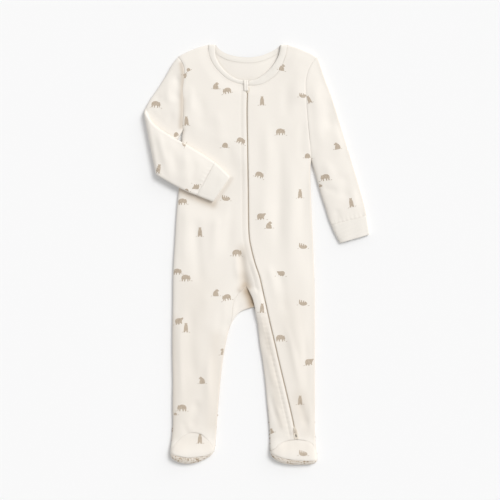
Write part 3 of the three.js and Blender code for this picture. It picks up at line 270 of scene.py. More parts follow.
# Each pose as an outline in mm, from the nose or the head round.
POSES = {
    "walking": [(8.2, -0.6), (7.7, 1), (7, 2.6), (6.8, 4.7), (5.6, 4.2), (4.6, 4), (2.8, 5.2), (0, 5.8),
                (-3.2, 5.5), (-6, 4.3), (-7.6, 1.9), (-7.9, -1), (-7.3, -3), (-7.5, -5.8),
                (-5.6, -6), (-5, -3.1), (-4, -1.9), (-3.2, -3.1), (-3.1, -5.8), (-1.3, -6),
                (-0.9, -2.9), (0, -1.8), (1.6, -1.8), (2.6, -2.9), (2.7, -5.9), (4.4, -6),
                (4.5, -3), (5.1, -1.9), (5.9, -3), (6.5, -5), (7.7, -4.6), (7, -2), (7.8, -1.6)],
    "roaming": [(8, 4.6), (6.7, 5.8), (4.8, 5.3), (2.4, 5), (-1.6, 5.3), (-4.9, 4.7), (-7.1, 2.7),
                (-7.7, -0.2), (-7, -3), (-7.1, -5.6), (-4.8, -6), (-3.9, -3.8), (-2.8, -3.9),
                (-2.2, -6.2), (-0.1, -5.9), (0.3, -3.6), (2.1, -3.4), (2.7, -5.3), (4.6, -4.9),
                (4.3, -2.2), (4.9, 0.4), (6.1, 2.2)],
    "rolled": [(-7.6, 4), (-5.6, 4.5), (-2, 4.2), (2.5, 4.7), (6.1, 4.1), (7.4, 1.8), (7, -1.6),
               (5.2, -3.6), (3.5, -5.2), (1.5, -3.7), (-0.5, -4.7), (-2, -2.8), (-4.2, -2.9),
               (-4.7, 0), (-6.3, 1.7)],
    "standing": [(-1.8, 8.8), (-0.6, 7.8), (0.7, 7.8), (2, 8.8), (2.4, 6.9), (2, 5.3), (2.9, 3.7),
                 (3.5, 0.8), (3.6, -2), (3.8, -5), (4.2, -8.5), (1.3, -8.6), (0.5, -5.8),
                 (-0.4, -5.8), (-1.2, -8.6), (-4.1, -8.5), (-3.7, -5), (-3.5, -2), (-3.4, 0.8),
                 (-2.9, 3.7), (-2, 5.3), (-2.5, 6.9)],
    "sitting": [(-5.2, -6), (-5.3, -3), (-4.7, 0.3), (-3, 2.9), (-0.9, 4), (-0.4, 6), (0.9, 5.4),
                (2.2, 6.8), (3.1, 5.2), (5.2, 4), (5.3, 2.6), (3.4, 2.1), (2.7, 0.9), (4.1, -0.6),
                (4.3, -2.8), (5.1, -6.2), (1.6, -6.4), (-2, -6.4)],
    "lying": [(-7.3, -0.5), (-7.2, 2.7), (-6.7, 5.4), (-5.3, 5), (-4.9, 1.6), (-4.2, 0.3), (-3.6, 1.7),
              (-3.2, 4.9), (-1.8, 4.5), (-1.6, 1.4), (-0.9, 0), (-0.2, 1.3), (0.5, 4), (1.8, 3.6),
              (1.9, 1), (2.5, 0), (3.2, 2.6), (4.5, 2), (6, 1), (7.4, -0.6), (7, -2.5), (5, -4.2),
              (1.5, -5), (-2.5, -4.8), (-5.1, -3.6), (-6.8, -2.1)],
    "curled": [(-5.7, -3.3), (-5.1, -1), (-4.5, 1.3), (-2.7, 3.8), (0.4, 4.9), (3.1, 4.2), (4.8, 2.3),
               (5.4, -0.4), (5.5, -3.1), (4.1, -5), (1, -4.3), (-2, -4.9), (-3.5, -3.8)],
}


# Plane curves, as arrays of points

def px(rows):
    rows = np.asarray(rows, float).reshape(-1, 2)
    return (rows - PHOTO_MIDDLE) * (MM_PER_PX, -MM_PER_PX)


def y_of(pixel):
    return (PHOTO_MIDDLE[1] - pixel) * MM_PER_PX


def ramp(t):
    s = np.clip(t, 0, 1)
    return s * s * (3 - 2 * s)


def unit(v):
    return v / np.maximum(np.linalg.norm(v, axis=-1, keepdims=True), 1e-9)


def lengths(line):
    return np.concatenate([[0], np.cumsum(np.linalg.norm(np.diff(line, axis=0), axis=1))])


def resample(line, step):
    at = lengths(line)
    count = max(2, int(round(at[-1] / step)) + 1)
    d = np.linspace(0, at[-1], count)
    return np.stack([np.interp(d, at, line[:, k]) for k in range(line.shape[1])], axis=1)


def smooth(points, step=2.0):
    """A smooth curve through the points, as short straight steps."""
    points = np.asarray(points, float)
    at = lengths(points)
    out = [points[0]]
    before = np.maximum(np.arange(len(points)) - 1, 0)
    after = np.minimum(np.arange(len(points)) + 1, len(points) - 1)
    slope = (points[after] - points[before]) / (at[after] - at[before])[:, None]
    for i in range(1, len(points)):
        span = at[i] - at[i - 1]
        steps = max(1, int(span / step + 0.5))
        for j in range(1, steps + 1):
            t = j / steps
            a = 2 * t ** 3 - 3 * t ** 2 + 1
            b = (t ** 3 - 2 * t ** 2 + t) * span
            c = (t ** 3 - t ** 2) * span
            out.append(a * points[i - 1] + b * slope[i - 1] + (1 - a) * points[i] + c * slope[i])
    return np.array(out)


def beside(line, distance):
    """The line moved to its left as it runs."""
    run = unit(np.gradient(line, axis=0))
    return line + np.stack([-run[:, 1], run[:, 0]], axis=1) * distance


def closest(lines, points):
    """Each point's distance to the nearest line, how far along it that is, and the way from it."""
    best = np.full(len(points), 1e9)
    where = np.zeros(len(points))
    way = np.zeros((len(points), 2))
    for line in lines:
        at = lengths(line)
        for i in range(1, len(line)):
            a, d = line[i - 1], line[i] - line[i - 1]
            square = max(d @ d, 1e-12)
            t = np.clip((points - a) @ d / square, 0, 1)
            off = points - a - d * t[:, None]
            gap = np.hypot(off[:, 0], off[:, 1])
            closer = gap < best
            best = np.where(closer, gap, best)
            where = np.where(closer, at[i - 1] + t * math.sqrt(square), where)
            way = np.where(closer[:, None], off, way)
    return best, where, unit(way)


def nearest(lines, points):
    return closest(lines, points)[:2]


def join(*lines):
    return np.concatenate([lines[0], *[line[1:] for line in lines[1:]]])


LINE = {name: smooth(px(rows)) for name, rows in ROWS.items()}
ZIP_EDGE = {"left": beside(LINE["zip"], -SLIT / 2), "right": beside(LINE["zip"], SLIT / 2)}
for side in ("left", "right"):
    LINE[f"neck_{side}"] = np.vstack([LINE[f"neck_{side}"], ZIP_EDGE[side][:1]])
    end = LINE[f"side_{side}"][-1], LINE[f"inner_{side}"][-1]
    toe = px(ROWS[f"toe_{side}"])
    ends = end if side == "left" else end[::-1]
    LINE[f"foot_{side}"] = smooth(np.vstack([ends[0], toe, ends[1]]))

FOLD_AT = px([ELBOW["at"]])[0]
FOLD_OUT = unit(np.array([-ELBOW["along"][1], -ELBOW["along"][0]]))


def past_fold(points):
    return (points[:, :2] - FOLD_AT) @ FOLD_OUT + BEND_AXIS


def turned_back(points):
    """Places on the folded forearm, moved to where they were before it was folded."""
    return points + 2 * (MIRROR - past_fold(points))[:, None] * FOLD_OUT


LINE["sleeve_left_outer"] = smooth(np.vstack(
    [px(ROWS["upper_arm_outer"]), turned_back(px(ROWS["forearm_outer"]))]))
LINE["sleeve_left_inner"] = smooth(np.vstack(
    [px(ROWS["upper_arm_inner"]), turned_back(px(ROWS["forearm_inner"]))]))
FOREARM = np.vstack([px(ROWS["forearm_outer"]), px(ROWS["cuff_left_outer"]),
                     px(ROWS["cuff_left_inner"])[::-1], px(ROWS["forearm_inner"])[::-1]])


def edges(*names):
    return [LINE[name] for name in names]


EDGES = {
    "left": edges("shoulder_left", "sleeve_left_outer", "sleeve_left_inner", "side_left"),
    "right": edges("shoulder_right", "sleeve_right_outer", "sleeve_right_inner", "side_right"),
    "leg_left": edges("side_left", "crotch", "inner_left", "foot_left"),
    "foot_right": edges("side_right", "inner_right", "foot_right"),
}
EDGES["back"] = EDGES["left"] + EDGES["right"] + edges("crotch", "inner_left", "inner_right")


# Heights of the laid cloth

def footness(y):
    start, full = y_of(FOOT["from"]), y_of(FOOT["full"])
    return ramp((start - y) / (start - full))


def inside(outline, points):
    """Which points lie inside a closed outline."""
    x, y = points[:, 0], points[:, 1]
    within = np.zeros(len(points), bool)
    for (ax, ay), (bx, by) in zip(outline, np.roll(outline, -1, axis=0)):
        crosses = (ay > y) != (by > y)
        at = ax + (bx - ax) * (y - ay) / (by - ay if by != ay else 1e-12)
        within ^= crosses & (x < at)
    return within


def under_forearm(points):
    """1 where the folded forearm lies on the cloth, falling to 0 just outside it."""
    away, _ = nearest([np.vstack([FOREARM, FOREARM[:1]])], points)
    return np.where(inside(FOREARM, points), 1.0, 1 - ramp((away - 6) / 34))


def folds(points, rows):
    """The height that soft folds add, each one uneven and faded at its ends."""
    total = np.zeros(len(points))
    for k, (line, wide, height) in enumerate(rows):
        line = smooth(px(line), 6)
        total_length = lengths(line)[-1]
        gap, along = nearest([line], points)
        share = along / total_length
        ends = ramp(share / 0.3) * ramp((1 - share) / 0.3)
        uneven = 1 + 0.22 * np.sin(share * 9 + k * 1.7)
        total += height * uneven * ends * np.exp(-(gap / (wide * (0.85 + 0.3 * share))) ** 2)
    return total


def waves(points, size, wave, seed):
    """A faint unevenness with no repeat that shows."""
    rng = random.Random(seed)
    total = np.zeros(len(points))
    for _ in range(7):
        angle = rng.uniform(0, math.pi)
        length = wave * rng.uniform(0.6, 1.7)
        run = points[:, 0] * math.cos(angle) + points[:, 1] * math.sin(angle) * 0.6
        total += np.sin(run * 2 * math.pi / length + rng.uniform(0, 6.3)) / 7
    return total * size


def settle(points, lines, drop, reach):
    """The cloth comes down this much where it is sewn to a lower piece."""
    gap, _ = nearest(lines, points)
    return -drop * (1 - ramp(gap / reach))


def edge_turn(points, lines, deep=0.9, wide=2.2):
    """The roll of cloth down into a seam."""
    gap, _ = nearest(lines, points)
    return -deep * np.maximum(0, 1 - gap / wide) ** 2


def puckers(points, line, wave, size, reach):
    """Small gathers along a sewn line, fading away from it."""
    gap, along = nearest([line], points)
    beat = np.sin(along * 2 * math.pi / wave + 1.3 * np.sin(along / 23.0))
    return size * beat * np.exp(-(gap / reach) ** 2)


def upper(points, lines, raised=0.0, level=None, loft=LOFT, wide=ROUND):
    """The top face: rounded down to its seam at the garment's edges, and broadly so at the left."""
    foot = footness(points[:, 1])
    gap, _, way = closest(lines, points)
    top = TOP + (FOOT["top"] - TOP) * foot + raised
    if level is None:
        level = SEAM + (FOOT["seam"] - SEAM) * foot + 0.1
    lean = way @ (0.8, 0.6)
    radius = np.maximum(wide * (1 + np.where(lean > 0, 0.45, 0.7) * lean), FOOT["round"] * foot)
    swell = loft * (1 - np.exp(-(gap / 15) ** 2)) * (1 - foot)
    curve = np.sqrt(1 - (1 - np.clip(gap / radius, 0, 1)) ** 2)
    return level + (top + swell - level) * curve


def under(points, lines):
    """The bottom face, flat on the surface."""
    foot = footness(points[:, 1])
    gap, _ = nearest(lines, points)
    level = SEAM + (FOOT["seam"] - SEAM) * foot - 0.1
    radius = np.maximum(3.7, FOOT["round_under"] * foot)
    curve = np.sqrt(1 - (1 - np.clip(gap / radius, 0, 1)) ** 2)
    return FLOOR + (level - FLOOR) * (1 - curve)


# Meshes

def fill(outline, rows, pitch, turns=(0.5, 1.3, 2.6, 4.2)):
    """Points and triangles inside a closed outline: rows beside its edge, other rows, then a grid."""
    closed = np.vstack([outline, outline[:1]])
    area = np.sum(closed[:-1, 0] * closed[1:, 1] - closed[1:, 0] * closed[:-1, 1]) / 2
    side = unit(np.roll(outline, -1, axis=0) - np.roll(outline, 1, axis=0))
    inward = np.stack([-side[:, 1], side[:, 0]], axis=1) * (1 if area > 0 else -1)
    extra = np.vstack([np.zeros((0, 2)), *[outline + inward * t for t in turns], *rows])
    wanted = np.concatenate([np.repeat(np.array(turns) * 0.8, len(outline)),
                             np.full(sum(map(len, rows)), 0.7)])
    away, _ = nearest([closed], extra)
    extra = extra[inside(outline, extra) & (away > wanted)]
    low, high = outline.min(0), outline.max(0)
    xs = np.arange(low[0] + pitch / 3, high[0], pitch)
    ys = np.arange(low[1] + pitch / 3, high[1], pitch * 0.866)
    grid = np.array([(x + (j % 2) * pitch / 2, y) for j, y in enumerate(ys) for x in xs])
    grid = grid[inside(outline, grid)]
    tree = KDTree(len(outline) + len(extra))
    kept = []
    for i, p in enumerate(outline):
        tree.insert((p[0], p[1], 0), i)
    for i, p in enumerate(extra):
        tree.insert((p[0], p[1], 0), len(outline) + i)
    tree.balance()
    extra_kept = thinned(extra, 0.45)
    for p in grid:
        if tree.find((p[0], p[1], 0))[2] > pitch * 0.62:
            kept.append(p)
    points = np.vstack([outline, extra_kept, np.array(kept).reshape(-1, 2)])
    count = len(outline)
    loop = [(i, (i + 1) % count) for i in range(count)]
    made = delaunay_2d_cdt([Vector(p) for p in points], loop, [], 1, 1e-5)
    source = [found[0] if found else None for found in made[3]]
    if None in source:
        raise ValueError("an outline crosses itself")
    faces = np.array([[source[i] for i in face] for face in made[2]])
    a, b, c = (points[faces[:, k]] for k in range(3))
    turn = (b[:, 0] - a[:, 0]) * (c[:, 1] - a[:, 1]) - (b[:, 1] - a[:, 1]) * (c[:, 0] - a[:, 0])
    faces = np.where((turn > 0)[:, None], faces, faces[:, ::-1])
    return points, faces[np.abs(turn) > 1e-7]


def thinned(points, least):
    """The points, without those that lie closer than that to one kept before."""
    seen = {}
    kept = []
    for p in points:
        key = (int(p[0] // least), int(p[1] // least))
        near = [q for dx in (-1, 0, 1) for dy in (-1, 0, 1)
                for q in seen.get((key[0] + dx, key[1] + dy), ())]
        if all(math.hypot(p[0] - q[0], p[1] - q[1]) >= least for q in near):
            seen.setdefault(key, []).append(p)
            kept.append(p)
    return np.array(kept).reshape(-1, 2)


def weld(parts):
    """One mesh from several, with the points that they share joined."""
    points, faces, index = [], [], {}
    for pts, tris in parts:
        ids = []
        for p in pts:
            key = tuple(np.round(p, 3))
            if key not in index:
                index[key] = len(points)
                points.append(p)
            ids.append(index[key])
        faces.append(np.array(ids)[tris])
    faces = np.vstack(faces)
    good = (faces[:, 0] != faces[:, 1]) & (faces[:, 1] != faces[:, 2]) & (faces[:, 0] != faces[:, 2])
    return np.array(points), faces[good]


def normals_of(points, faces):
    a, b, c = (points[faces[:, k]] for k in range(3))
    cross = np.cross(b - a, c - a)
    total = np.zeros_like(points)
    for k in range(3):
        np.add.at(total, faces[:, k], cross)
    return unit(total)


def shell(points, faces, thick=CLOTH):
    """A closed thin piece of cloth: the outer face, and one a thickness inside it."""
    inner = points - normals_of(points, faces) * thick
    count = len(points)
    once = {}
    for tri in faces:
        for k in range(3):
            a, b = int(tri[k]), int(tri[(k + 1) % 3])
            if (b, a) in once:
                del once[(b, a)]
            else:
                once[(a, b)] = True
    rim = []
    for a, b in once:
        rim.append((b, a, a + count))
        rim.append((b, a + count, b + count))
    return np.vstack([points, inner]), np.vstack([faces, faces[:, ::-1] + count, np.array(rim)])


def make_object(name, points, faces, material, slot, body="garment", shade=True):
    mesh = bpy.data.meshes.new(name)
    mesh.from_pydata((np.asarray(points) / 1000).tolist(), [], [list(map(int, f)) for f in faces])
    mesh.materials.append(material)
    if shade:
        mesh.shade_smooth()
    obj = bpy.data.objects.new(name, mesh)
    bpy.context.scene.collection.objects.link(obj)
    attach(obj, body)
    return obj


# Materials

def new_material(name, color, rough=0.85, sheen=0.25):
    made = bpy.data.materials.new(name)
    made.use_nodes = True
    tree = made.node_tree
    shader = tree.nodes["Principled BSDF"]
    shader.inputs["Base Color"].default_value = (*color, 1)
    shader.inputs["Roughness"].default_value = rough
    shader.inputs["Sheen Weight"].default_value = sheen
    shader.inputs["Sheen Roughness"].default_value = 0.5
    shader.inputs["Specular IOR Level"].default_value = 0.25
    return made, tree, shader


def node(tree, kind, links=(), **values):
    """A node with its settings and sockets set, and links into its inputs."""
    made = tree.nodes.new(kind)
    for key, value in values.items():
        if hasattr(made, key):
            setattr(made, key, value)
        else:
            made.inputs[key.replace("_", " ")].default_value = value
    for socket, source in links:
        tree.links.new(source, made.inputs[socket])
    return made


def mixed(tree, factor, first, second):
    made = tree.nodes.new("ShaderNodeMix")
    made.data_type = "RGBA"
    for socket, value in ((6, first), (7, second)):
        if hasattr(value, "is_linked"):
            tree.links.new(value, made.inputs[socket])
        else:
            made.inputs[socket].default_value = (*value, 1)
    tree.links.new(factor, made.inputs[0])
    return made.outputs[2]


# Painted shade: the warm tint that shaded cloth is darkened towards.
PAINTED_SHADE_TINT = (0.50, 0.40, 0.29)


def cloth_material(name, color, rib=None, rib_size=0.0, knit=0.0011, strength=0.25):
    """Fine jersey: columns of stitches as a bump, faint random unevenness of tone, soft fibre, and painted
    shade from the cloth's shade attribute and, on rib, in its valleys.
    """
    made, tree, shader = new_material(name, color)
    place = node(tree, "ShaderNodeTexCoord").outputs["Object"]
    blotch = node(tree, "ShaderNodeTexNoise", [("Vector", place)], Scale=14.0, Detail=3.0)
    fibre = node(tree, "ShaderNodeTexNoise", [("Vector", place)], Scale=900.0, Detail=2.0)
    darker = tuple(c * 0.965 for c in color)
    lighter = tuple(min(1, c * 1.012) for c in color)
    tone = mixed(tree, blotch.outputs["Fac"], darker, lighter)
    fleck = node(tree, "ShaderNodeMapRange", [("Value", fibre.outputs["Fac"])],
                 From_Min=0.3, From_Max=0.7, To_Min=0.0, To_Max=0.16)
    tone = mixed(tree, fleck.outputs["Result"], tone, tuple(c * 0.86 for c in color))
    # Painted shade: the shade attribute darkens the colour towards the warm tint.
    dip = node(tree, "ShaderNodeAttribute", attribute_name="shade")
    tone = mixed(tree, dip.outputs["Fac"], tone, tuple(c * k for c, k in zip(color, PAINTED_SHADE_TINT)))
    tree.links.new(tone, shader.inputs["Base Color"])
    columns = node(tree, "ShaderNodeTexWave", [("Vector", place)], wave_type="BANDS",
                   bands_direction="X", Scale=0.314 / knit, Distortion=0.35, Detail=1.0)
    courses = node(tree, "ShaderNodeTexWave", [("Vector", place)], wave_type="BANDS",
                   bands_direction="Y", Scale=0.314 / knit * 1.3, Distortion=0.5, Detail=1.0)
    weave = node(tree, "ShaderNodeMath", [(0, columns.outputs["Fac"]), (1, courses.outputs["Fac"])],
                 operation="MULTIPLY")
    total = node(tree, "ShaderNodeMath", [(0, weave.outputs[0]), (1, fibre.outputs["Fac"])],
                 operation="ADD")
    bump = node(tree, "ShaderNodeBump", [("Height", total.outputs[0])], Strength=strength,
                Distance=0.00025)
    last = bump
    if rib:
        uv = node(tree, "ShaderNodeUVMap", uv_map="cut")
        ribs = node(tree, "ShaderNodeTexWave", [("Vector", uv.outputs["UV"])], wave_type="BANDS",
                    bands_direction="X", Scale=0.314 / rib, Distortion=0.15)
        last = node(tree, "ShaderNodeBump",
                    [("Height", ribs.outputs["Fac"]), ("Normal", bump.outputs["Normal"])],
                    Strength=0.7, Distance=rib_size)
        # Painted shade: the rib's valleys are darkened in the colour.
        shade = node(tree, "ShaderNodeMapRange", [("Value", ribs.outputs["Fac"])],
                     From_Min=0.0, From_Max=0.4, To_Min=0.07, To_Max=0.0)
        toned = mixed(tree, shade.outputs["Result"], tone, tuple(c * 0.8 for c in color))
        tree.links.new(toned, shader.inputs["Base Color"])
    tree.links.new(last.outputs["Normal"], shader.inputs["Normal"])
    return made


def print_material():
    """Taupe ink in the knit, a little uneven."""
    color = (0.50, 0.412, 0.32)
    made, tree, shader = new_material("bear_print", color, rough=0.8, sheen=0.1)
    place = node(tree, "ShaderNodeTexCoord").outputs["Object"]
    speck = node(tree, "ShaderNodeTexNoise", [("Vector", place)], Scale=420.0, Detail=3.0)
    fleck = node(tree, "ShaderNodeMapRange", [("Value", speck.outputs["Fac"])],
                 From_Min=0.42, From_Max=0.72, To_Min=0.0, To_Max=0.7)
    tone = mixed(tree, fleck.outputs["Result"], color, (0.66, 0.575, 0.475))
    tree.links.new(tone, shader.inputs["Base Color"])
    bump = node(tree, "ShaderNodeBump", [("Height", speck.outputs["Fac"])], Strength=0.2,
                Distance=0.0002)
    tree.links.new(bump.outputs["Normal"], shader.inputs["Normal"])
    return made


def woven_material(name, color, pitch=0.0007):
    """A woven tape: crossed bands as bump and shade."""
    made, tree, shader = new_material(name, color, rough=0.75, sheen=0.1)
    place = node(tree, "ShaderNodeTexCoord").outputs["Object"]
    warp = node(tree, "ShaderNodeTexWave", [("Vector", place)], wave_type="BANDS",
                bands_direction="X", Scale=0.314 / pitch)
    weft = node(tree, "ShaderNodeTexWave", [("Vector", place)], wave_type="BANDS",
                bands_direction="Y", Scale=0.314 / pitch)
    both = node(tree, "ShaderNodeMath", [(0, warp.outputs["Fac"]), (1, weft.outputs["Fac"])],
                operation="MULTIPLY")
    tone = mixed(tree, both.outputs[0], tuple(c * 0.82 for c in color), color)
    tree.links.new(tone, shader.inputs["Base Color"])
    bump = node(tree, "ShaderNodeBump", [("Height", both.outputs[0])], Strength=0.5, Distance=0.0002)
    tree.links.new(bump.outputs["Normal"], shader.inputs["Normal"])
    return made


def lacquer_material():
    """Beige lacquer on a cast slider, worn a little along its edges."""
    color = (0.84, 0.765, 0.66)
    made, tree, shader = new_material("slider_lacquer", color, rough=0.38, sheen=0.0)
    shader.inputs["Specular IOR Level"].default_value = 0.5
    shader.inputs["Coat Weight"].default_value = 0.25
    shader.inputs["Coat Roughness"].default_value = 0.25
    place = node(tree, "ShaderNodeTexCoord").outputs["Object"]
    grain = node(tree, "ShaderNodeTexNoise", [("Vector", place)], Scale=700.0, Detail=4.0)
    edge = node(tree, "ShaderNodeNewGeometry").outputs["Pointiness"]
    worn = node(tree, "ShaderNodeMapRange", [("Value", edge)],
                From_Min=0.52, From_Max=0.6, To_Min=0.0, To_Max=0.5)
    tone = mixed(tree, grain.outputs["Fac"], tuple(c * 0.93 for c in color),
                 tuple(min(1, c * 1.05) for c in color))
    tone = mixed(tree, worn.outputs["Result"], tone, (0.7, 0.62, 0.5))
    tree.links.new(tone, shader.inputs["Base Color"])
    rough = node(tree, "ShaderNodeMapRange", [("Value", grain.outputs["Fac"])],
                 From_Min=0.2, From_Max=0.8, To_Min=0.3, To_Max=0.48)
    tree.links.new(rough.outputs["Result"], shader.inputs["Roughness"])
    return made


CREAM = (0.921, 0.871, 0.801)
COTTON = cloth_material("cotton_jersey", CREAM)
RIB = cloth_material("cotton_rib", (0.93, 0.885, 0.815), rib=0.0019, rib_size=0.0003)
SOLE = cloth_material("sole_cotton", (0.85, 0.785, 0.70), strength=0.45)
THREAD = cloth_material("thread", (0.87, 0.815, 0.735), strength=0.3)
DOTS = cloth_material("grip_dots", (0.38, 0.275, 0.17), strength=0.1)
PRINT = print_material()
TAPE = woven_material("zip_tape_weave", (0.88, 0.80, 0.68))
COIL = woven_material("zip_coil", (0.87, 0.75, 0.59), pitch=0.0004)
LACQUER = lacquer_material()


# Cloth pieces

STEP = 2.4  # along the outlines
CUT = {}


def cut(name):
    """A named outline line, with the same points for each piece that uses it."""
    if name not in CUT:
        line = LINE[name]
        if name.startswith("foot_"):
            ends = px(ROWS[f"toe_{name[5:]}"])[[0, -1]]
            i, j = (int(np.argmin(np.linalg.norm(line - end, axis=1))) for end in ends)
            CUT[name] = join(*(resample(part, STEP) for part in (line[:i + 1], line[i:j + 1], line[j:])))
        else:
            CUT[name] = resample(line, STEP)
    return CUT[name]


def cut_part(name, near, keep):
    """A named line up to the place on it nearest a point, or from there on."""
    line = cut(name)
    at = lengths(line)
    where = nearest([line], near[None, :])[1][0]
    point = np.array([[np.interp(where, at, line[:, k]) for k in (0, 1)]])
    if keep == "before":
        return np.vstack([line[at < where - 0.8], point])
    return np.vstack([point, line[at > where + 0.8]])


LINE["zip_left"] = ZIP_EDGE["left"]
LINE["zip_right"] = ZIP_EDGE["right"]


def loop_of(*lines):
    """A closed outline from lines that follow one another, without repeated points."""
    points = np.vstack(lines)
    keep = [0]
    for i in range(1, len(points)):
        if np.linalg.norm(points[i] - points[keep[-1]]) > 0.35:
            keep.append(i)
    points = points[keep]
    if np.linalg.norm(points[0] - points[-1]) < 0.35:
        points = points[:-1]
    return points


# Rows across the placket, at these distances from the zip's slit, in mm.
PLACKET_ROWS = (0.6, 1.4, 2.4, 3.6, 4.8, 6.2, 7.6, 8.8, 9.6, 10.4, 11.4, 13)
SLEEVE_SHOULDER = {"deep": 1.3, "wide": 4.0}


def placket(points):
    """The zip's facing on the left: a ridge and two stitched valleys."""
    gap, along = nearest([LINE["zip_left"]], points)
    total = lengths(LINE["zip_left"])[-1]
    ends = ramp(along / 12) * ramp((total - along) / 14)
    on_leg = 0.7 + 0.5 * ramp((y_of(260) - points[:, 1]) / 60)
    ridge = 0.4 * np.exp(-((gap - 4.6) / 2.8) ** 2)
    valley = -0.42 * np.exp(-((gap - 9.7) / 1.4) ** 2)
    second = -0.3 * np.exp(-((gap - 6.9) / 0.9) ** 2)
    return (ridge + valley + second) * ends * on_leg


def zip_roll(points, side):
    gap, _ = nearest([LINE[f"zip_{side}"]], points)
    return -0.45 * np.maximum(0, 1 - gap / 1.6) ** 2


def strip_level(y):
    high = np.where(y > y_of(287.4), TOP, 6.7)
    low = SEAM + 0.1 + footness(y) * (FOOT["seam"] - SEAM)
    return high + (low - high) * ramp((y_of(308) - y) / (y_of(308) - y_of(322)))


def strip_raise(points):
    gap, _ = nearest([LINE["strip"]], points)
    y = points[:, 1]
    across = 1 - ramp((gap - 9) / 9)
    starts = ramp((y_of(286) - y) / (y_of(286) - y_of(293)))
    ends = 1 - ramp((y_of(322) - y) / (y_of(322) - y_of(340)))
    return 2.4 * across * starts * ends


def front_extras(points):
    """Folds and faint waves, faded near the edges and on the feet, calm under the forearm."""
    calm = 1 - under_forearm(points)
    gap, _ = nearest(EDGES["back"], points)
    soft = ramp(gap / 9)
    foot = 1 - footness(points[:, 1])
    extra = folds(points, FRONT_FOLDS) * soft + waves(points, 0.75, 42, 3) * soft
    return extra * calm * foot


def front_left():
    lines = loop_of(cut("shoulder_left")[::-1], cut("neck_left"), cut("zip_left"),
                    cut_part("vamp_right", LINE["zip_left"][-1], "before")[::-1],
                    cut("strip")[::-1], cut("gusset_seam"), cut("inner_left"),
                    cut("vamp_left")[::-1], cut("side_left")[::-1], cut("armhole_left")[::-1])
    rows = [resample(beside(LINE["zip_left"], -d), 2.4) for d in PLACKET_ROWS]
    points, faces = fill(lines, rows, 3.1)
    plain = EDGES["left"] + EDGES["leg_left"][2:]
    near_plain, _ = nearest(plain, points)
    near_strip, _ = nearest([LINE["strip"]], points)
    by_strip = near_strip < near_plain
    raised = strip_raise(points)
    z = upper(points, plain, raised, loft=LOFT * 1.0)
    z_strip = upper(points, [LINE["strip"]], raised, strip_level(points[:, 1]), wide=9.0)
    z = np.where(by_strip, z_strip, z)
    calm = 1 - under_forearm(points)
    z = z - (z - np.minimum(z, TOP)) * (1 - calm)
    z = z + front_extras(points)
    on_leg = ramp((y_of(300) - points[:, 1]) / 20)
    z = z + placket(points) + zip_roll(points, "left")
    z = z + puckers(points, beside(LINE["zip"], -SLIT / 2 - 9.7), 9.5, 0.3, 5) * on_leg
    z = z + edge_turn(points, edges("armhole_left"), 0.8, 4.5)
    z = z + settle(points, edges("neck_left"), 1.5, 20) + edge_turn(points, edges("neck_left"), 0.4, 1.8)
    z = z + settle(points, edges("gusset_seam"), 1.3, 18)
    z = z + edge_turn(points, edges("vamp_left", "vamp_right"), 0.35, 2.6)
    z = z + edge_turn(points, edges("gusset_seam"), 0.3, 2.6)
    return piece("cloth_front_left", "front_left front_leg_left front_placket", points, faces, z)


def front_right():
    lines = loop_of(cut("shoulder_right"), cut("armhole_right"), cut("side_right"),
                    cut_part("vamp_right", LINE["zip_right"][-1], "after")[::-1],
                    cut("zip_right")[::-1], cut("neck_right")[::-1])
    rows = [resample(beside(LINE["zip_right"], d), 2.4) for d in (0.6, 1.4, 2.4, 3.8, 5.4)]
    points, faces = fill(lines, rows, 3.1)
    z = upper(points, EDGES["right"]) + front_extras(points) + zip_roll(points, "right")
    z = z + edge_turn(points, edges("armhole_right"), 0.6, 3.0)
    z = z + settle(points, edges("neck_right"), 1.5, 20) + edge_turn(points, edges("neck_right"), 0.4, 1.8)
    z = z + edge_turn(points, edges("vamp_right"), 0.5, 2.4)
    return piece("cloth_front_right", "front_right", points, faces, z)


def piece(name, node_name, points, faces, z, slot="cotton", material=None, thick=CLOTH):
    solid = shell(np.column_stack([points, z]), faces, thick)
    obj = make_object(name, *solid, material or COTTON, slot)
    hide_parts(*node_name.split())
    declare(points, faces)
    return obj


def add_painted_shade(obj):
    """Painted shade: how much each place on the cloth has its colour darkened, for its material."""
    mesh = obj.data
    co = np.zeros(len(mesh.vertices) * 3)
    mesh.vertices.foreach_get("co", co)
    points = co.reshape(-1, 3)[:, :2] * 1000
    total = np.zeros(len(points))
    for name, line, wide, strength in PAINTED_SHADES:
        if obj.name == f"cloth_{name}":
            gap, _ = nearest([LINE[line] if isinstance(line, str) else smooth(px(line), 6)], points)
            total = total + strength * np.exp(-(gap / wide) ** 2)
    layer = mesh.attributes.new("shade", "FLOAT", "POINT")
    layer.data.foreach_set("value", np.clip(total, 0, 1))


def declare(points, faces, layers=1, along=(0, 1)):
    """Works out a piece's flat size and area from its plan, measured along the way it runs, and keeps none of
    it.
    """
    a, b, c = (points[faces[:, k], :2] for k in range(3))
    cross = (b[:, 0] - a[:, 0]) * (c[:, 1] - a[:, 1]) - (b[:, 1] - a[:, 1]) * (c[:, 0] - a[:, 0])
    area = np.abs(cross).sum() / 2 / 1e6
    run = unit(np.array(along, float))
    across = np.array([-run[1], run[0]])
    wide, long = (np.ptp(points[:, :2] @ way) / 1000 for way in (across, run))
    wide = max(wide, 0.011)
    if layers == 2:
        wide = wide * 2
        area = area * 2


def heel_line(side):
    line = LINE[f"heel_{side}"]
    if side == "left":
        ends = LINE["side_left"], LINE["inner_left"]
    else:
        ends = LINE["inner_right"], LINE["side_right"]
    line = line.copy()
    line[0] = ends[0][np.argmin(np.linalg.norm(ends[0] - line[0], axis=1))]
    line[-1] = ends[1][np.argmin(np.linalg.norm(ends[1] - line[-1], axis=1))]
    return line


LINE["heel_left_cut"] = heel_line("left")
LINE["heel_right_cut"] = heel_line("right")


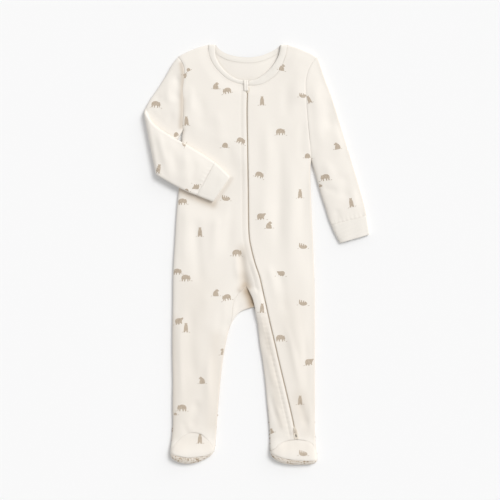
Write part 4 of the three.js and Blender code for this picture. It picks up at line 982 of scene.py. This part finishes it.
def neck_rise(points):
    """The back stands a little proud in the neck's opening."""
    away = (points - px([(248, 68)])[0]) / (58, 30)
    return 4.0 * np.exp(-(away ** 2).sum(axis=1) ** 1.5)


def back():
    heel = {side: cut(f"heel_{side}_cut") for side in ("left", "right")}
    lines = loop_of(cut("neck_back"), cut("shoulder_right"), cut("armhole_right"),
                    cut_part("side_right", heel["right"][-1], "before"), heel["right"][::-1],
                    cut_part("inner_right", heel["right"][0], "before")[::-1], cut("crotch"),
                    cut_part("inner_left", heel["left"][-1], "before"), heel["left"][::-1],
                    cut_part("side_left", heel["left"][0], "before")[::-1],
                    cut("armhole_left")[::-1], cut("shoulder_left")[::-1])
    points, faces = fill(lines, [], 4.2)
    z = under(points, EDGES["back"])
    gap, _ = nearest(EDGES["back"], points)
    soft = ramp(gap / 10)
    z = z + (np.maximum(0, folds(points, BACK_FOLDS)) + 0.25 + waves(points, 0.5, 36, 5)) * soft
    z = z - edge_turn(points, edges("armhole_left", "armhole_right", "neck_back"), 0.6, 2.6)
    z = z - edge_turn(points, edges("heel_left_cut", "heel_right_cut"), 0.6, 2.4)
    z = z + neck_rise(points)
    return piece("cloth_back", "back back_leg_left back_leg_right", points, faces[:, ::-1], z)


def gusset():
    lines = loop_of(cut("gusset_seam"), cut("crotch")[::-1],
                    resample(LINE["gusset_hidden"], STEP)[::-1])
    points, faces = fill(lines, [], 2.6)
    gap, _ = nearest([LINE["gusset_seam"]], points)
    to_strip, _ = nearest([LINE["strip"]], points)
    dip = -1.8 * ramp(gap / 12) - 2.6 * (1 - ramp(to_strip / 20))
    z = upper(points, edges("crotch"), loft=0.2) + dip * ramp(nearest(edges("crotch"), points)[0] / 7)
    z = np.maximum(z, 2.5)
    z = z + edge_turn(points, edges("gusset_seam"), 0.3, 2.6)
    past = ramp((nearest([LINE["strip"]], points)[0]) / 3)
    hidden = points[:, 0] > np.interp(-points[:, 1], -LINE["strip"][:, 1], LINE["strip"][:, 0])
    z = np.where(hidden, np.minimum(z, 4.6 - 0.4 * past), z)
    return piece("cloth_gusset", "gusset", points, faces, z)


def sleeve_right():
    lines = loop_of(cut("armhole_right"), cut("sleeve_right_inner"),
                    resample(np.vstack([LINE["sleeve_right_inner"][-1:],
                                        LINE["sleeve_right_outer"][-1:]]), STEP),
                    cut("sleeve_right_outer")[::-1])
    points, faces = fill(lines, [], 3.0)
    wrist = np.vstack([LINE["sleeve_right_inner"][-1:], LINE["sleeve_right_outer"][-1:]])
    gap, _ = nearest(EDGES["right"], points)
    soft = ramp(gap / 8)
    z = upper(points, EDGES["right"])
    z = z + (folds(points, SLEEVE_RIGHT_FOLDS) + waves(points, 0.8, 34, 11)) * soft
    z = z + (puckers(points, wrist, 7.5, 0.5, 7) + settle(points, [wrist], 0.9, 22)) * soft
    z = z + edge_turn(points, [wrist], 0.3, 2.2) + edge_turn(points, edges("armhole_right"), 0.6, 3.0)
    low = under(points, EDGES["right"]) + (0.35 + waves(points, 0.6, 30, 12)) * soft
    low = low - edge_turn(points, [wrist], 0.7, 2.2)
    return tube("cloth_sleeve_right", "sleeve_right", points, faces, z, low, EDGES["right"],
                along=wrist.mean(0) - cut("armhole_right").mean(0))


def tube(name, node_name, points, faces, high, low, rims, change=None, **looks):
    """A flat tube of cloth, its two faces joined along its rims."""
    gap, _ = nearest(rims, points)
    level = SEAM + footness(points[:, 1]) * (FOOT["seam"] - SEAM)
    on_rim = gap < 0.02
    high = np.where(on_rim, level, high)
    low = np.where(on_rim, level, low)
    mesh = weld([(np.column_stack([points, high]), faces),
                 (np.column_stack([points, low]), faces[:, ::-1])])
    solid_points, solid_faces = shell(*mesh, looks.get("thick", CLOTH))
    if change:
        solid_points = change(solid_points)
    obj = make_object(name, solid_points, solid_faces, looks.get("material", COTTON),
                      looks.get("slot", "cotton"))
    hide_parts(node_name)
    declare(points, faces, layers=2, along=looks["along"])
    if "uv" in looks:
        add_uv(obj, looks["uv"])
    return obj


def folded(points):
    """Cloth past the fold line goes round an axis along it, and lies back over the sleeve."""
    past = past_fold(points)
    reach = BEND_AXIS - points[:, 2]
    turn = past / (BEND_AXIS - SEAM)
    round_it = turn < math.pi
    to = np.where(round_it, reach * np.sin(turn), 2 * MIRROR - past)
    height = BEND_AXIS - reach * np.where(round_it, np.cos(turn), -1)
    moved = points.copy()
    moved[:, :2] += FOLD_OUT * (to - past)[:, None]
    moved[:, 2] = height
    return np.where((past <= 0)[:, None], points, moved)


def sleeve_left():
    outer, inner = LINE["sleeve_left_outer"], LINE["sleeve_left_inner"]
    wrist = np.vstack([outer[-1:], inner[-1:]])
    lines = loop_of(cut("armhole_left"), cut("sleeve_left_inner"), resample(wrist, STEP)[::-1],
                    cut("sleeve_left_outer")[::-1])
    turn_rows = []
    for k in range(0, 15):
        far = k / 14 * 2 * MIRROR
        ends = [line[np.argmin(np.abs(past_fold(line) - far))] for line in (outer, inner)]
        turn_rows.append(resample(np.array(ends), 2.4))
    points, faces = fill(lines, turn_rows, 3.0)
    past = past_fold(points)
    rims = edges("shoulder_left", "sleeve_left_outer", "sleeve_left_inner")
    gap, _ = nearest(rims, points)
    soft = ramp(gap / 8)
    near_fold = ramp((-past) / 16)
    calm = (1 - under_forearm(points)) * near_fold
    high = upper(points, rims, loft=0)
    swell = LOFT * (1 - np.exp(-(gap / 14) ** 2))
    high = high + (swell + folds(points, UPPER_ARM_FOLDS) + waves(points, 0.6, 30, 21)) * soft * calm
    high = high + edge_turn(points, edges("armhole_left"), 0.9, 5.0)
    low = under(points, rims)
    back_of_arm = ramp((past - 2 * MIRROR) / 16)
    as_lying = turned_back(points)
    forearm = swell + folds(as_lying, FOREARM_FOLDS) + waves(as_lying, 0.8, 30, 22)
    forearm = forearm + puckers(points, wrist, 7.5, 0.5, 7) + settle(points, [wrist], 0.9, 22)
    low = low - forearm * soft * back_of_arm - edge_turn(points, [wrist], 0.3, 2.2) * back_of_arm
    low = low + waves(points, 0.3, 26, 23) * soft * (past < 0)
    return tube("cloth_sleeve_left", "sleeve_left", points, faces, high, low, rims, folded,
                along=wrist.mean(0) - cut("armhole_left").mean(0))


def along_uv(line):
    """A map from points to how far along a line they are and how far from it, in metres."""
    def uv(points):
        gap, along = nearest([line], points[:, :2])
        return np.column_stack([along, gap]) / 1000
    return uv


def add_uv(obj, uv):
    mesh = obj.data
    co = np.zeros(len(mesh.vertices) * 3)
    mesh.vertices.foreach_get("co", co)
    values = uv(co.reshape(-1, 3) * 1000)
    index = np.zeros(len(mesh.loops), int)
    mesh.loops.foreach_get("vertex_index", index)
    layer = mesh.uv_layers.new(name="cut")
    layer.data.foreach_set("uv", values[index].ravel())


def cuff(side, lift):
    sleeve = "sleeve_right" if side == "right" else "forearm"
    ends = [px(ROWS[f"{sleeve}_{edge}"])[-1] for edge in ("outer", "inner")]
    outer, inner = (smooth(np.vstack([start, px(ROWS[f"cuff_{side}_{edge}"])[1:]]))
                    for start, edge in zip(ends, ("outer", "inner")))
    wrist = np.vstack([outer[:1], inner[:1]])
    end = np.vstack([outer[-1:], inner[-1:]])
    step = 1.8
    lines = loop_of(resample(outer, step), resample(end, step), resample(inner, step)[::-1],
                    resample(wrist, step)[::-1])
    points, faces = fill(lines, [], 2.3)
    rims = [outer, inner]
    gap, _ = nearest(rims, points)
    soft = ramp(gap / 6)
    to_end, _ = nearest([end], points)
    roll = -1.1 * np.maximum(0, 1 - to_end / 2.2) ** 2
    loft = 1.0 * (1 - np.exp(-(gap / 10) ** 2))
    high = upper(points, rims, loft=0) + (loft + waves(points, 0.7, 24, 31 + len(side))) * soft
    high = high + roll + edge_turn(points, [wrist], 0.3, 2.4)
    low = under(points, rims) + (0.25 + waves(points, 0.4, 20, 33)) * soft
    low = low - roll * 0.5 - edge_turn(points, [wrist], 0.7, 2.4)
    if lift:
        high, low = TOP - low + loft * soft, np.maximum(TOP - high, -0.35)

    def raise_up(p):
        return p + np.array([0, 0, lift])

    return tube(f"cloth_cuff_{side}", f"cuff_{side}", points, faces, high, low, rims, raise_up,
                along=end.mean(0) - wrist.mean(0), material=RIB, slot="rib", uv=along_uv(wrist))


def neck_band():
    """A folded band of rib round the neck, in three stretches."""
    parts = []
    folds_at = [np.vstack([LINE["neck_left"][:1], LINE["band_left"][:1]]),
                np.vstack([LINE["neck_right"][:1], LINE["band_right"][:1]])]
    for side in ("left", "right", "back"):
        seam = resample(LINE[f"neck_{side}"], 1.9)
        free = resample(LINE[f"band_{side}"], 1.9)
        first = resample(np.vstack([seam[:1], free[:1]]), 1.5)
        last = resample(np.vstack([seam[-1:], free[-1:]]), 1.5)
        lines = loop_of(seam, last, free[::-1], first[::-1])
        points, faces = fill(lines, [], 2.0, turns=(0.6, 1.5, 2.8))
        to_free, _ = nearest([LINE[f"band_{side}"]], points)
        to_seam, _ = nearest([LINE[f"neck_{side}"]], points)
        share = to_free / np.maximum(to_free + to_seam, 1e-6)
        round_it = np.sqrt(np.clip(1 - (1 - np.clip(to_free / 2.0, 0, 1)) ** 2, 0, 1))
        if side == "back":
            z = under(points, folds_at) + 0.5 * np.sin(share * math.pi)
            z = z + 0.4 * (1 - round_it) - edge_turn(points, edges("neck_back"), 0.3, 1.8)
            z = z + neck_rise(points)
            tris = faces[:, ::-1]
        else:
            z = upper(points, folds_at, loft=0) - 1.5 * (1 - round_it)
            near_ends, _ = nearest(folds_at, points)
            z = z + 0.7 * np.sin(share * math.pi) * ramp(near_ends / 8)
            z = z + edge_turn(points, edges(f"neck_{side}"), 0.4, 1.6)
            z = z + waves(points, 0.2, 20, 41)
            tris = faces
        z = np.where(nearest(folds_at, points)[0] < 0.02, SEAM, z)
        parts.append((np.column_stack([points, z]), tris))
    mesh = weld(parts)
    obj = make_object("cloth_neck_band", *shell(*mesh, 1.0), RIB, "rib")
    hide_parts("neck_band")
    declare(mesh[0], mesh[1])
    counts = [len(weld(parts[:k])[0]) for k in (1, 2, 3)]

    def uv(points):
        """How far round the neck each point is, from the left shoulder, and how far in."""
        stretch = np.searchsorted(counts, np.arange(len(points)) % counts[-1], side="right")
        found = np.zeros((len(points), 2))
        round_back = lengths(LINE["neck_back"])[-1]
        for k, (side, start, way) in enumerate((("left", 0, -1), ("right", round_back, 1), ("back", 0, 1))):
            gap, along = nearest([LINE[f"neck_{side}"]], points[:, :2])
            here = stretch == k
            found[here] = np.column_stack([start + way * along, gap])[here]
        return found / 1000

    add_uv(obj, uv)
    return obj


FEET = {
    "left": {"edges": EDGES["leg_left"], "sides": ("side_left", "inner_left")},
    "right": {"edges": EDGES["foot_right"], "sides": ("inner_right", "side_right")},
}


def foot_part(side, a, b):
    line = cut(f"foot_{side}")
    i, j = (int(np.argmin(np.linalg.norm(line - q, axis=1))) for q in (a, b))
    return line[i:j + 1] if i <= j else line[j:i + 1][::-1]


def vamp(side):
    arch = cut(f"vamp_{side}")
    seam = cut(f"sole_{side}")
    rim = FEET[side]["edges"]
    lines = loop_of(arch, foot_part(side, arch[-1], seam[-1]), seam[::-1],
                    foot_part(side, seam[0], arch[0]))
    points, faces = fill(lines, [], 2.3)
    z = upper(points, rim, loft=0)
    gap, _ = nearest(rim, points)
    soft = ramp(gap / 7)
    z = z + puckers(points, LINE[f"sole_{side}"], 6.0, 0.4, 5) * soft
    z = z + (waves(points, 0.7, 22, 51 + len(side)) + 0.9 * ramp(gap / 14)) * soft
    z = z + edge_turn(points, [LINE[f"sole_{side}"], LINE[f"vamp_{side}"]], 0.35, 2.6)
    return piece(f"cloth_vamp_{side}", f"vamp_{side}", points, faces, z)


def sole(side):
    """From its seam over the toes, round them and back under the foot to the heel."""
    rim = FEET[side]["edges"]
    seam = cut(f"sole_{side}")
    toe = foot_part(side, seam[0], seam[-1])
    toe = join(seam[:1], toe[1:-1], seam[-1:]) if len(toe) > 2 else toe
    toe_points, toe_faces = fill(loop_of(seam, toe[::-1]), [], 2.2)
    heel = cut(f"heel_{side}_cut")
    names = FEET[side]["sides"]
    starts, ends = (cut_part(names[0], heel[0], "after"), cut_part(names[1], heel[-1], "after"))
    first = foot_part(side, starts[-1], toe[0])
    last = foot_part(side, ends[-1], toe[-1])
    lines = loop_of(heel[:1], starts, first, toe, last[::-1], ends[::-1], heel[::-1])
    points, faces = fill(lines, [], 3.0)
    high = upper(toe_points, rim, loft=0)
    high = high + edge_turn(toe_points, [LINE[f"sole_{side}"]], 0.7, 2.0)
    low = under(points, rim)
    low = low - edge_turn(points, [LINE[f"heel_{side}_cut"]], 0.6, 2.2) + 0.15
    level_high = SEAM + footness(toe_points[:, 1]) * (FOOT["seam"] - SEAM)
    level_low = SEAM + footness(points[:, 1]) * (FOOT["seam"] - SEAM)
    high = np.where(nearest([toe], toe_points)[0] < 0.02, level_high, high)
    low = np.where(nearest([toe], points)[0] < 0.02, level_low, low)
    mesh = weld([(np.column_stack([toe_points, high]), toe_faces),
                 (np.column_stack([points, low]), faces[:, ::-1])])
    obj = make_object(f"cloth_sole_{side}", *shell(*mesh, 1.2), SOLE, "sole")
    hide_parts(f"sole_{side}")
    declare(mesh[0], mesh[1])
    return obj, lines, toe_points


def zip_guard():
    corners = px([(243.3, 80.2), (248.5, 80.2), (248.5, 91.2), (243.3, 91.2)])
    lines = loop_of(*[resample(np.vstack([corners[k], corners[(k + 1) % 4]]), 0.8) for k in range(4)])
    points, faces = fill(lines, [], 0.9, turns=(0.35, 0.8))
    rise = ramp((points[:, 0] - corners[0][0]) / 3.2) * ramp((corners[0][1] - points[:, 1]) / 9)
    edge_gap, _ = nearest([np.vstack([lines, lines[:1]])], points)
    z = 9.3 + 1.5 * rise - 0.7 * np.maximum(0, 1 - edge_gap / 1.2) ** 2
    z = z + 0.3 * np.sin((points[:, 0] - corners[0][0]) * 1.1)
    return piece("cloth_zip_guard", "zip_guard", points, faces, z, thick=0.9)


cloth = [front_left(), front_right(), back(), gusset(), sleeve_left(), sleeve_right(),
         cuff("left", 2 * BEND_AXIS - TOP), cuff("right", 0), neck_band(),
         vamp("left"), vamp("right"), zip_guard()]
soles = {side: sole(side) for side in ("left", "right")}
cloth += [soles[side][0] for side in ("left", "right")]
# Painted shade in each piece's colour.
for obj in cloth:
    add_painted_shade(obj)


# What lies on the cloth

def surface_of(objects):
    points, faces = [], []
    count = 0
    for obj in objects:
        co = np.zeros(len(obj.data.vertices) * 3)
        obj.data.vertices.foreach_get("co", co)
        points.append(co.reshape(-1, 3) * 1000)
        faces += [[v + count for v in p.vertices] for p in obj.data.polygons]
        count += len(obj.data.vertices)
    return BVHTree.FromPolygons(np.vstack(points).tolist(), faces)


SURFACE = surface_of(cloth)


def hit(x, y, above=True):
    """The cloth seen from above or below at a place: the point and its normal."""
    start, way = (Vector((x, y, 60)), Vector((0, 0, -1))) if above else (
        Vector((x, y, -20)), Vector((0, 0, 1)))
    point, normal, _, _ = SURFACE.ray_cast(start, way)
    if point is None:
        return None
    if normal.dot(way) > 0:
        normal = -normal
    return np.array(point), np.array(normal)


def rounded_off(outline):
    """The outline with its corners cut."""
    after = np.roll(outline, -1, axis=0)
    return np.stack([outline * 0.86 + after * 0.14, outline * 0.14 + after * 0.86], axis=1).reshape(-1, 2)


def decal(outline, lift, above):
    """A thin patch that lies on the cloth, or nothing where it would hang over an edge."""
    points, faces = fill(outline, [], 1.5, turns=())
    hits = [hit(x, y, above) for x, y in points]
    heights = [h[0][2] for h in hits if h is not None]
    if not heights:
        return None
    middle = float(np.median(heights))
    good = np.array([h is not None and abs(h[0][2] - middle) < 2.6 for h in hits])
    faces = faces[good[faces].all(axis=1)]
    if len(faces) == 0:
        return None
    placed = np.array([h[0] + h[1] * lift if h is not None else (p[0], p[1], 0)
                       for h, p in zip(hits, points)])
    used = np.unique(faces)
    renumber = np.full(len(points), -1)
    renumber[used] = np.arange(len(used))
    faces = renumber[faces]
    return placed[used], faces if above else faces[:, ::-1]


def joined_mesh(parts):
    points, faces, count = [], [], 0
    for pts, tris in parts:
        points.append(np.asarray(pts))
        faces.append(np.asarray(tris) + count)
        count += len(pts)
    return np.vstack(points), np.vstack(faces)


def bear(x, y, pose, turn, size, rng):
    """One printed bear with the ticks of ground beside its feet, as outlines in the frame."""
    way = -1 if pose.endswith("_left") else 1
    shape = np.array(POSES[pose.removesuffix("_left")]) * (way * size, size)
    a = math.radians(turn)
    spin = np.array([[math.cos(a), -math.sin(a)], [math.sin(a), math.cos(a)]])
    place = px([(x, y)])[0]
    foot = shape[:, 1].min()
    reach = np.abs(shape[:, 0]).max()
    ticks = []
    for way in (-1, 1):
        at = np.array([way * (reach + rng.uniform(1.2, 2.6)), foot + rng.uniform(-0.2, 1.2)])
        long = rng.uniform(0.8, 1.7)
        tick = np.array([(-long, -0.45), (long, -0.2), (long * 0.9, 0.45), (-long * 0.8, 0.4)])
        ticks.append((tick + at) @ spin.T + place)
    return (rounded_off(shape) @ spin.T + place), ticks


def print_bears():
    rng = random.Random(7)
    ink, ground = [], []
    lower = [(2 * 244 - x + 9, y + 12, pose, -turn, size)
             for x, y, pose, turn, size in BEARS if size > 0.8 and y < 400]
    for above, rows in ((True, BEARS), (False, lower)):
        for x, y, pose, turn, size in rows:
            body, ticks = bear(x, y, pose, turn, size, rng)
            made = decal(body, 0.1, above)
            if made is not None:
                ink.append(made)
            for tick in ticks:
                made = decal(tick, 0.1, above)
                if made is not None:
                    ground.append(made)
    obj = make_object("print_bears", *joined_mesh(ink), PRINT, "cotton")
    tick_obj = make_object("print_ground", *joined_mesh(ground),
                           cloth_material("ground_print", (0.54, 0.46, 0.37)), "cotton")
    return obj, tick_obj


print_bears()


def capsule(a, b, radius, sides=6):
    """A short thread between two points, pointed at its ends."""
    run = unit(b - a)
    across = np.cross(run, (0, 0, 1))
    across = unit(across if np.linalg.norm(across) > 1e-6 else np.array([1.0, 0, 0]))
    up = np.cross(across, run)
    length = np.linalg.norm(b - a)
    rings = [a]
    points = [a]
    for share in (0.2, 0.8):
        middle = a + run * length * share
        for k in range(sides):
            t = 2 * math.pi * k / sides
            points.append(middle + (across * math.cos(t) + up * math.sin(t)) * radius)
    points.append(b)
    faces = []
    last = len(points) - 1
    for k in range(sides):
        n = (k + 1) % sides
        faces += [(0, 1 + n, 1 + k), (1 + k, 1 + n, 1 + sides + n),
                  (1 + k, 1 + sides + n, 1 + sides + k), (last, 1 + sides + k, 1 + sides + n)]
    return np.array(points), np.array(faces)


def stitches(line, above=True, stitch=2.3, gap=0.9, radius=0.2, lift=0.06):
    """Topstitching along a line on the cloth."""
    made = []
    at = lengths(line)
    d = gap
    while d + stitch < at[-1]:
        ends = []
        for far in (d, d + stitch):
            x, y = (np.interp(far, at, line[:, k]) for k in (0, 1))
            found = hit(x, y, above)
            if found is not None:
                ends.append(found[0] + found[1] * lift)
        if len(ends) == 2 and abs(ends[0][2] - ends[1][2]) < 1.4:
            made.append(capsule(ends[0], ends[1], radius))
        d += stitch + gap
    return made


def trimmed(line, start=0.0, end=0.0):
    at = lengths(line)
    d = np.arange(start, at[-1] - end, 1.5)
    return np.stack([np.interp(d, at, line[:, k]) for k in (0, 1)], axis=1)


STITCHED = [
    trimmed(beside(LINE["zip"], -SLIT / 2 - 6.9), 8, 8),
    trimmed(beside(LINE["zip"], -SLIT / 2 - 9.7), 8, 8),
    trimmed(beside(LINE["zip"], SLIT / 2 + 2.4), 4, 4),
    trimmed(beside(LINE["neck_left"], -1.6), 5, 4),
    trimmed(beside(LINE["neck_right"], 1.6), 5, 4),
    trimmed(beside(LINE["gusset_seam"], 1.4), 6, 4),
]
STITCHED_BELOW = [
    trimmed(beside(LINE["neck_back"], -1.8), 5, 5),
    trimmed(beside(LINE["heel_left_cut"], 1.8), 5, 5),
    trimmed(beside(LINE["heel_right_cut"], 1.8), 5, 5),
]


def sew():
    made = [s for line in STITCHED for s in stitches(line)]
    made += [s for line in STITCHED_BELOW for s in stitches(line, above=False)]
    return make_object("stitching", *joined_mesh(made), THREAD, "cotton")


sew()


def zip_coil():
    """The spiral teeth, alternating from side to side along the zip."""
    line = resample(trimmed(LINE["zip"], 9, 7), 0.7)
    run = unit(np.gradient(line, axis=0))
    left = np.stack([-run[:, 1], run[:, 0]], axis=1) * (SLIT / 2 + 1.2)
    level = np.array([min(hit(*(p + way * q))[0][2] for way in (-1, 1)) for p, q in zip(line, left)])
    level = np.convolve(np.pad(level, 6, mode="edge"), np.ones(13) / 13, mode="valid") - 0.65
    made = []
    for i in range(0, len(line)):
        side = 1 if i % 2 else -1
        across = np.array([-run[i, 1], run[i, 0]]) * side
        a = np.append(line[i] - across * 0.35, level[i])
        b = np.append(line[i] + across * 1.5, level[i] - 0.5)
        made.append(capsule(a, b, 0.46, sides=5))
    return make_object("zip_coil", *joined_mesh(made), COIL, "tape")


zip_coil()


def dot(center, normal, radius, height):
    """A low round dot on a surface."""
    normal = unit(np.asarray(normal))
    first = unit(np.cross(normal, (0.3, 0.9, 0.2)))
    second = np.cross(normal, first)
    points = [center + normal * height]
    for share, rise in ((0.6, 0.8), (1.0, 0.0)):
        for k in range(6):
            t = 2 * math.pi * k / 6
            points.append(center + (first * math.cos(t) + second * math.sin(t)) * radius * share
                          + normal * height * rise)
    faces = []
    for k in range(6):
        n = (k + 1) % 6
        faces += [(0, 1 + k, 1 + n), (1 + k, 7 + k, 7 + n), (1 + k, 7 + n, 1 + n)]
    return np.array(points), np.array(faces)


def grip_dots():
    """Small raised dots all over both soles, and round the toes."""
    rng = random.Random(19)
    made = []
    sole_surface = {side: surface_of([soles[side][0]]) for side in soles}
    for side, (obj, outline, _) in soles.items():
        low, high = outline.min(0), outline.max(0)
        pitch = 3.5
        for j, y in enumerate(np.arange(low[1] - 2, high[1], pitch * 0.866)):
            for x in np.arange(low[0], high[0], pitch):
                x1 = x + (j % 2) * pitch / 2 + rng.uniform(-1.1, 1.1)
                y1 = y + rng.uniform(-0.9, 0.9)
                for way in (1, -1):
                    start = Vector((x1, y1, -20 if way > 0 else 60))
                    point, normal, _, _ = sole_surface[side].ray_cast(start, Vector((0, 0, way)))
                    if point is None:
                        continue
                    n = np.array(normal)
                    if n[2] * way > 0:
                        n = -n
                    if way < 0 and point[2] < 3 or abs(n[2]) < 0.45:
                        continue
                    made.append(dot(np.array(point), n, rng.uniform(0.45, 1.6), 0.25))
    return make_object("sole_dots", *joined_mesh(made), DOTS, "sole")


grip_dots()

for name in ("zip_tape_left", "zip_tape_right"):
    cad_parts[name].data.materials.clear()
    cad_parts[name].data.materials.append(TAPE)
for name in ("slider_top", "slider_bottom", "pull_tab"):
    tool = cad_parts[name]
    tool.data.materials.clear()
    tool.data.materials.append(LACQUER)
    soften = tool.modifiers.new("soft_edges", "BEVEL")
    soften.width = 0.00018
    soften.segments = 2
    soften.limit_method = "ANGLE"


# Floor, light and camera

def make_floor():
    mesh = bpy.data.meshes.new("floor")
    r = 6.0
    mesh.from_pydata([(-r, -r, 0), (r, -r, 0), (r, r, 0), (-r, r, 0)], [], [(0, 1, 2, 3)])
    material, _, shader = new_material("pale_floor", (0.94, 0.94, 0.94), rough=0.9, sheen=0.0)
    mesh.materials.append(material)
    obj = bpy.data.objects.new("floor", mesh)
    bpy.context.scene.collection.objects.link(obj)


def add_sun(name, toward, strength, spread):
    """A soft distant light that shines from a direction."""
    data = bpy.data.lights.new(name, "SUN")
    data.energy = strength
    data.angle = math.radians(spread)
    obj = bpy.data.objects.new(name, data)
    obj.rotation_mode = "QUATERNION"
    obj.rotation_quaternion = Vector(toward).to_track_quat("Z", "Y")
    bpy.context.scene.collection.objects.link(obj)


FRAME_PX = 500
LENS = 90.0
SENSOR = 36.0
CLOTH_MIDDLE = 0.006  # height that the photo's scale is taken at, in metres

make_floor()
add_sun("key", (0.66, 0.54, 1), 1.7, 26)
add_sun("low", (1.0, 0.8, 0.62), 0.5, 40)
world = bpy.data.worlds.new("studio")
world.use_nodes = True
world.node_tree.nodes["Background"].inputs["Color"].default_value = (1, 1, 1, 1)
world.node_tree.nodes["Background"].inputs["Strength"].default_value = 0.53
bpy.context.scene.world = world
bpy.context.scene.view_settings.view_transform = "Standard"

camera = bpy.data.cameras.new("camera")
camera.lens = LENS
camera.sensor_width = SENSOR
eye = bpy.data.objects.new("camera", camera)
centre = px([(FRAME_PX / 2, FRAME_PX / 2)])[0] / 1000
width = FRAME_PX * MM_PER_PX / 1000
eye.location = (centre[0], centre[1], CLOTH_MIDDLE + width * LENS / SENSOR)
camera.clip_start, camera.clip_end = 0.01, 20
bpy.context.scene.collection.objects.link(eye)
bpy.context.scene.camera = eye
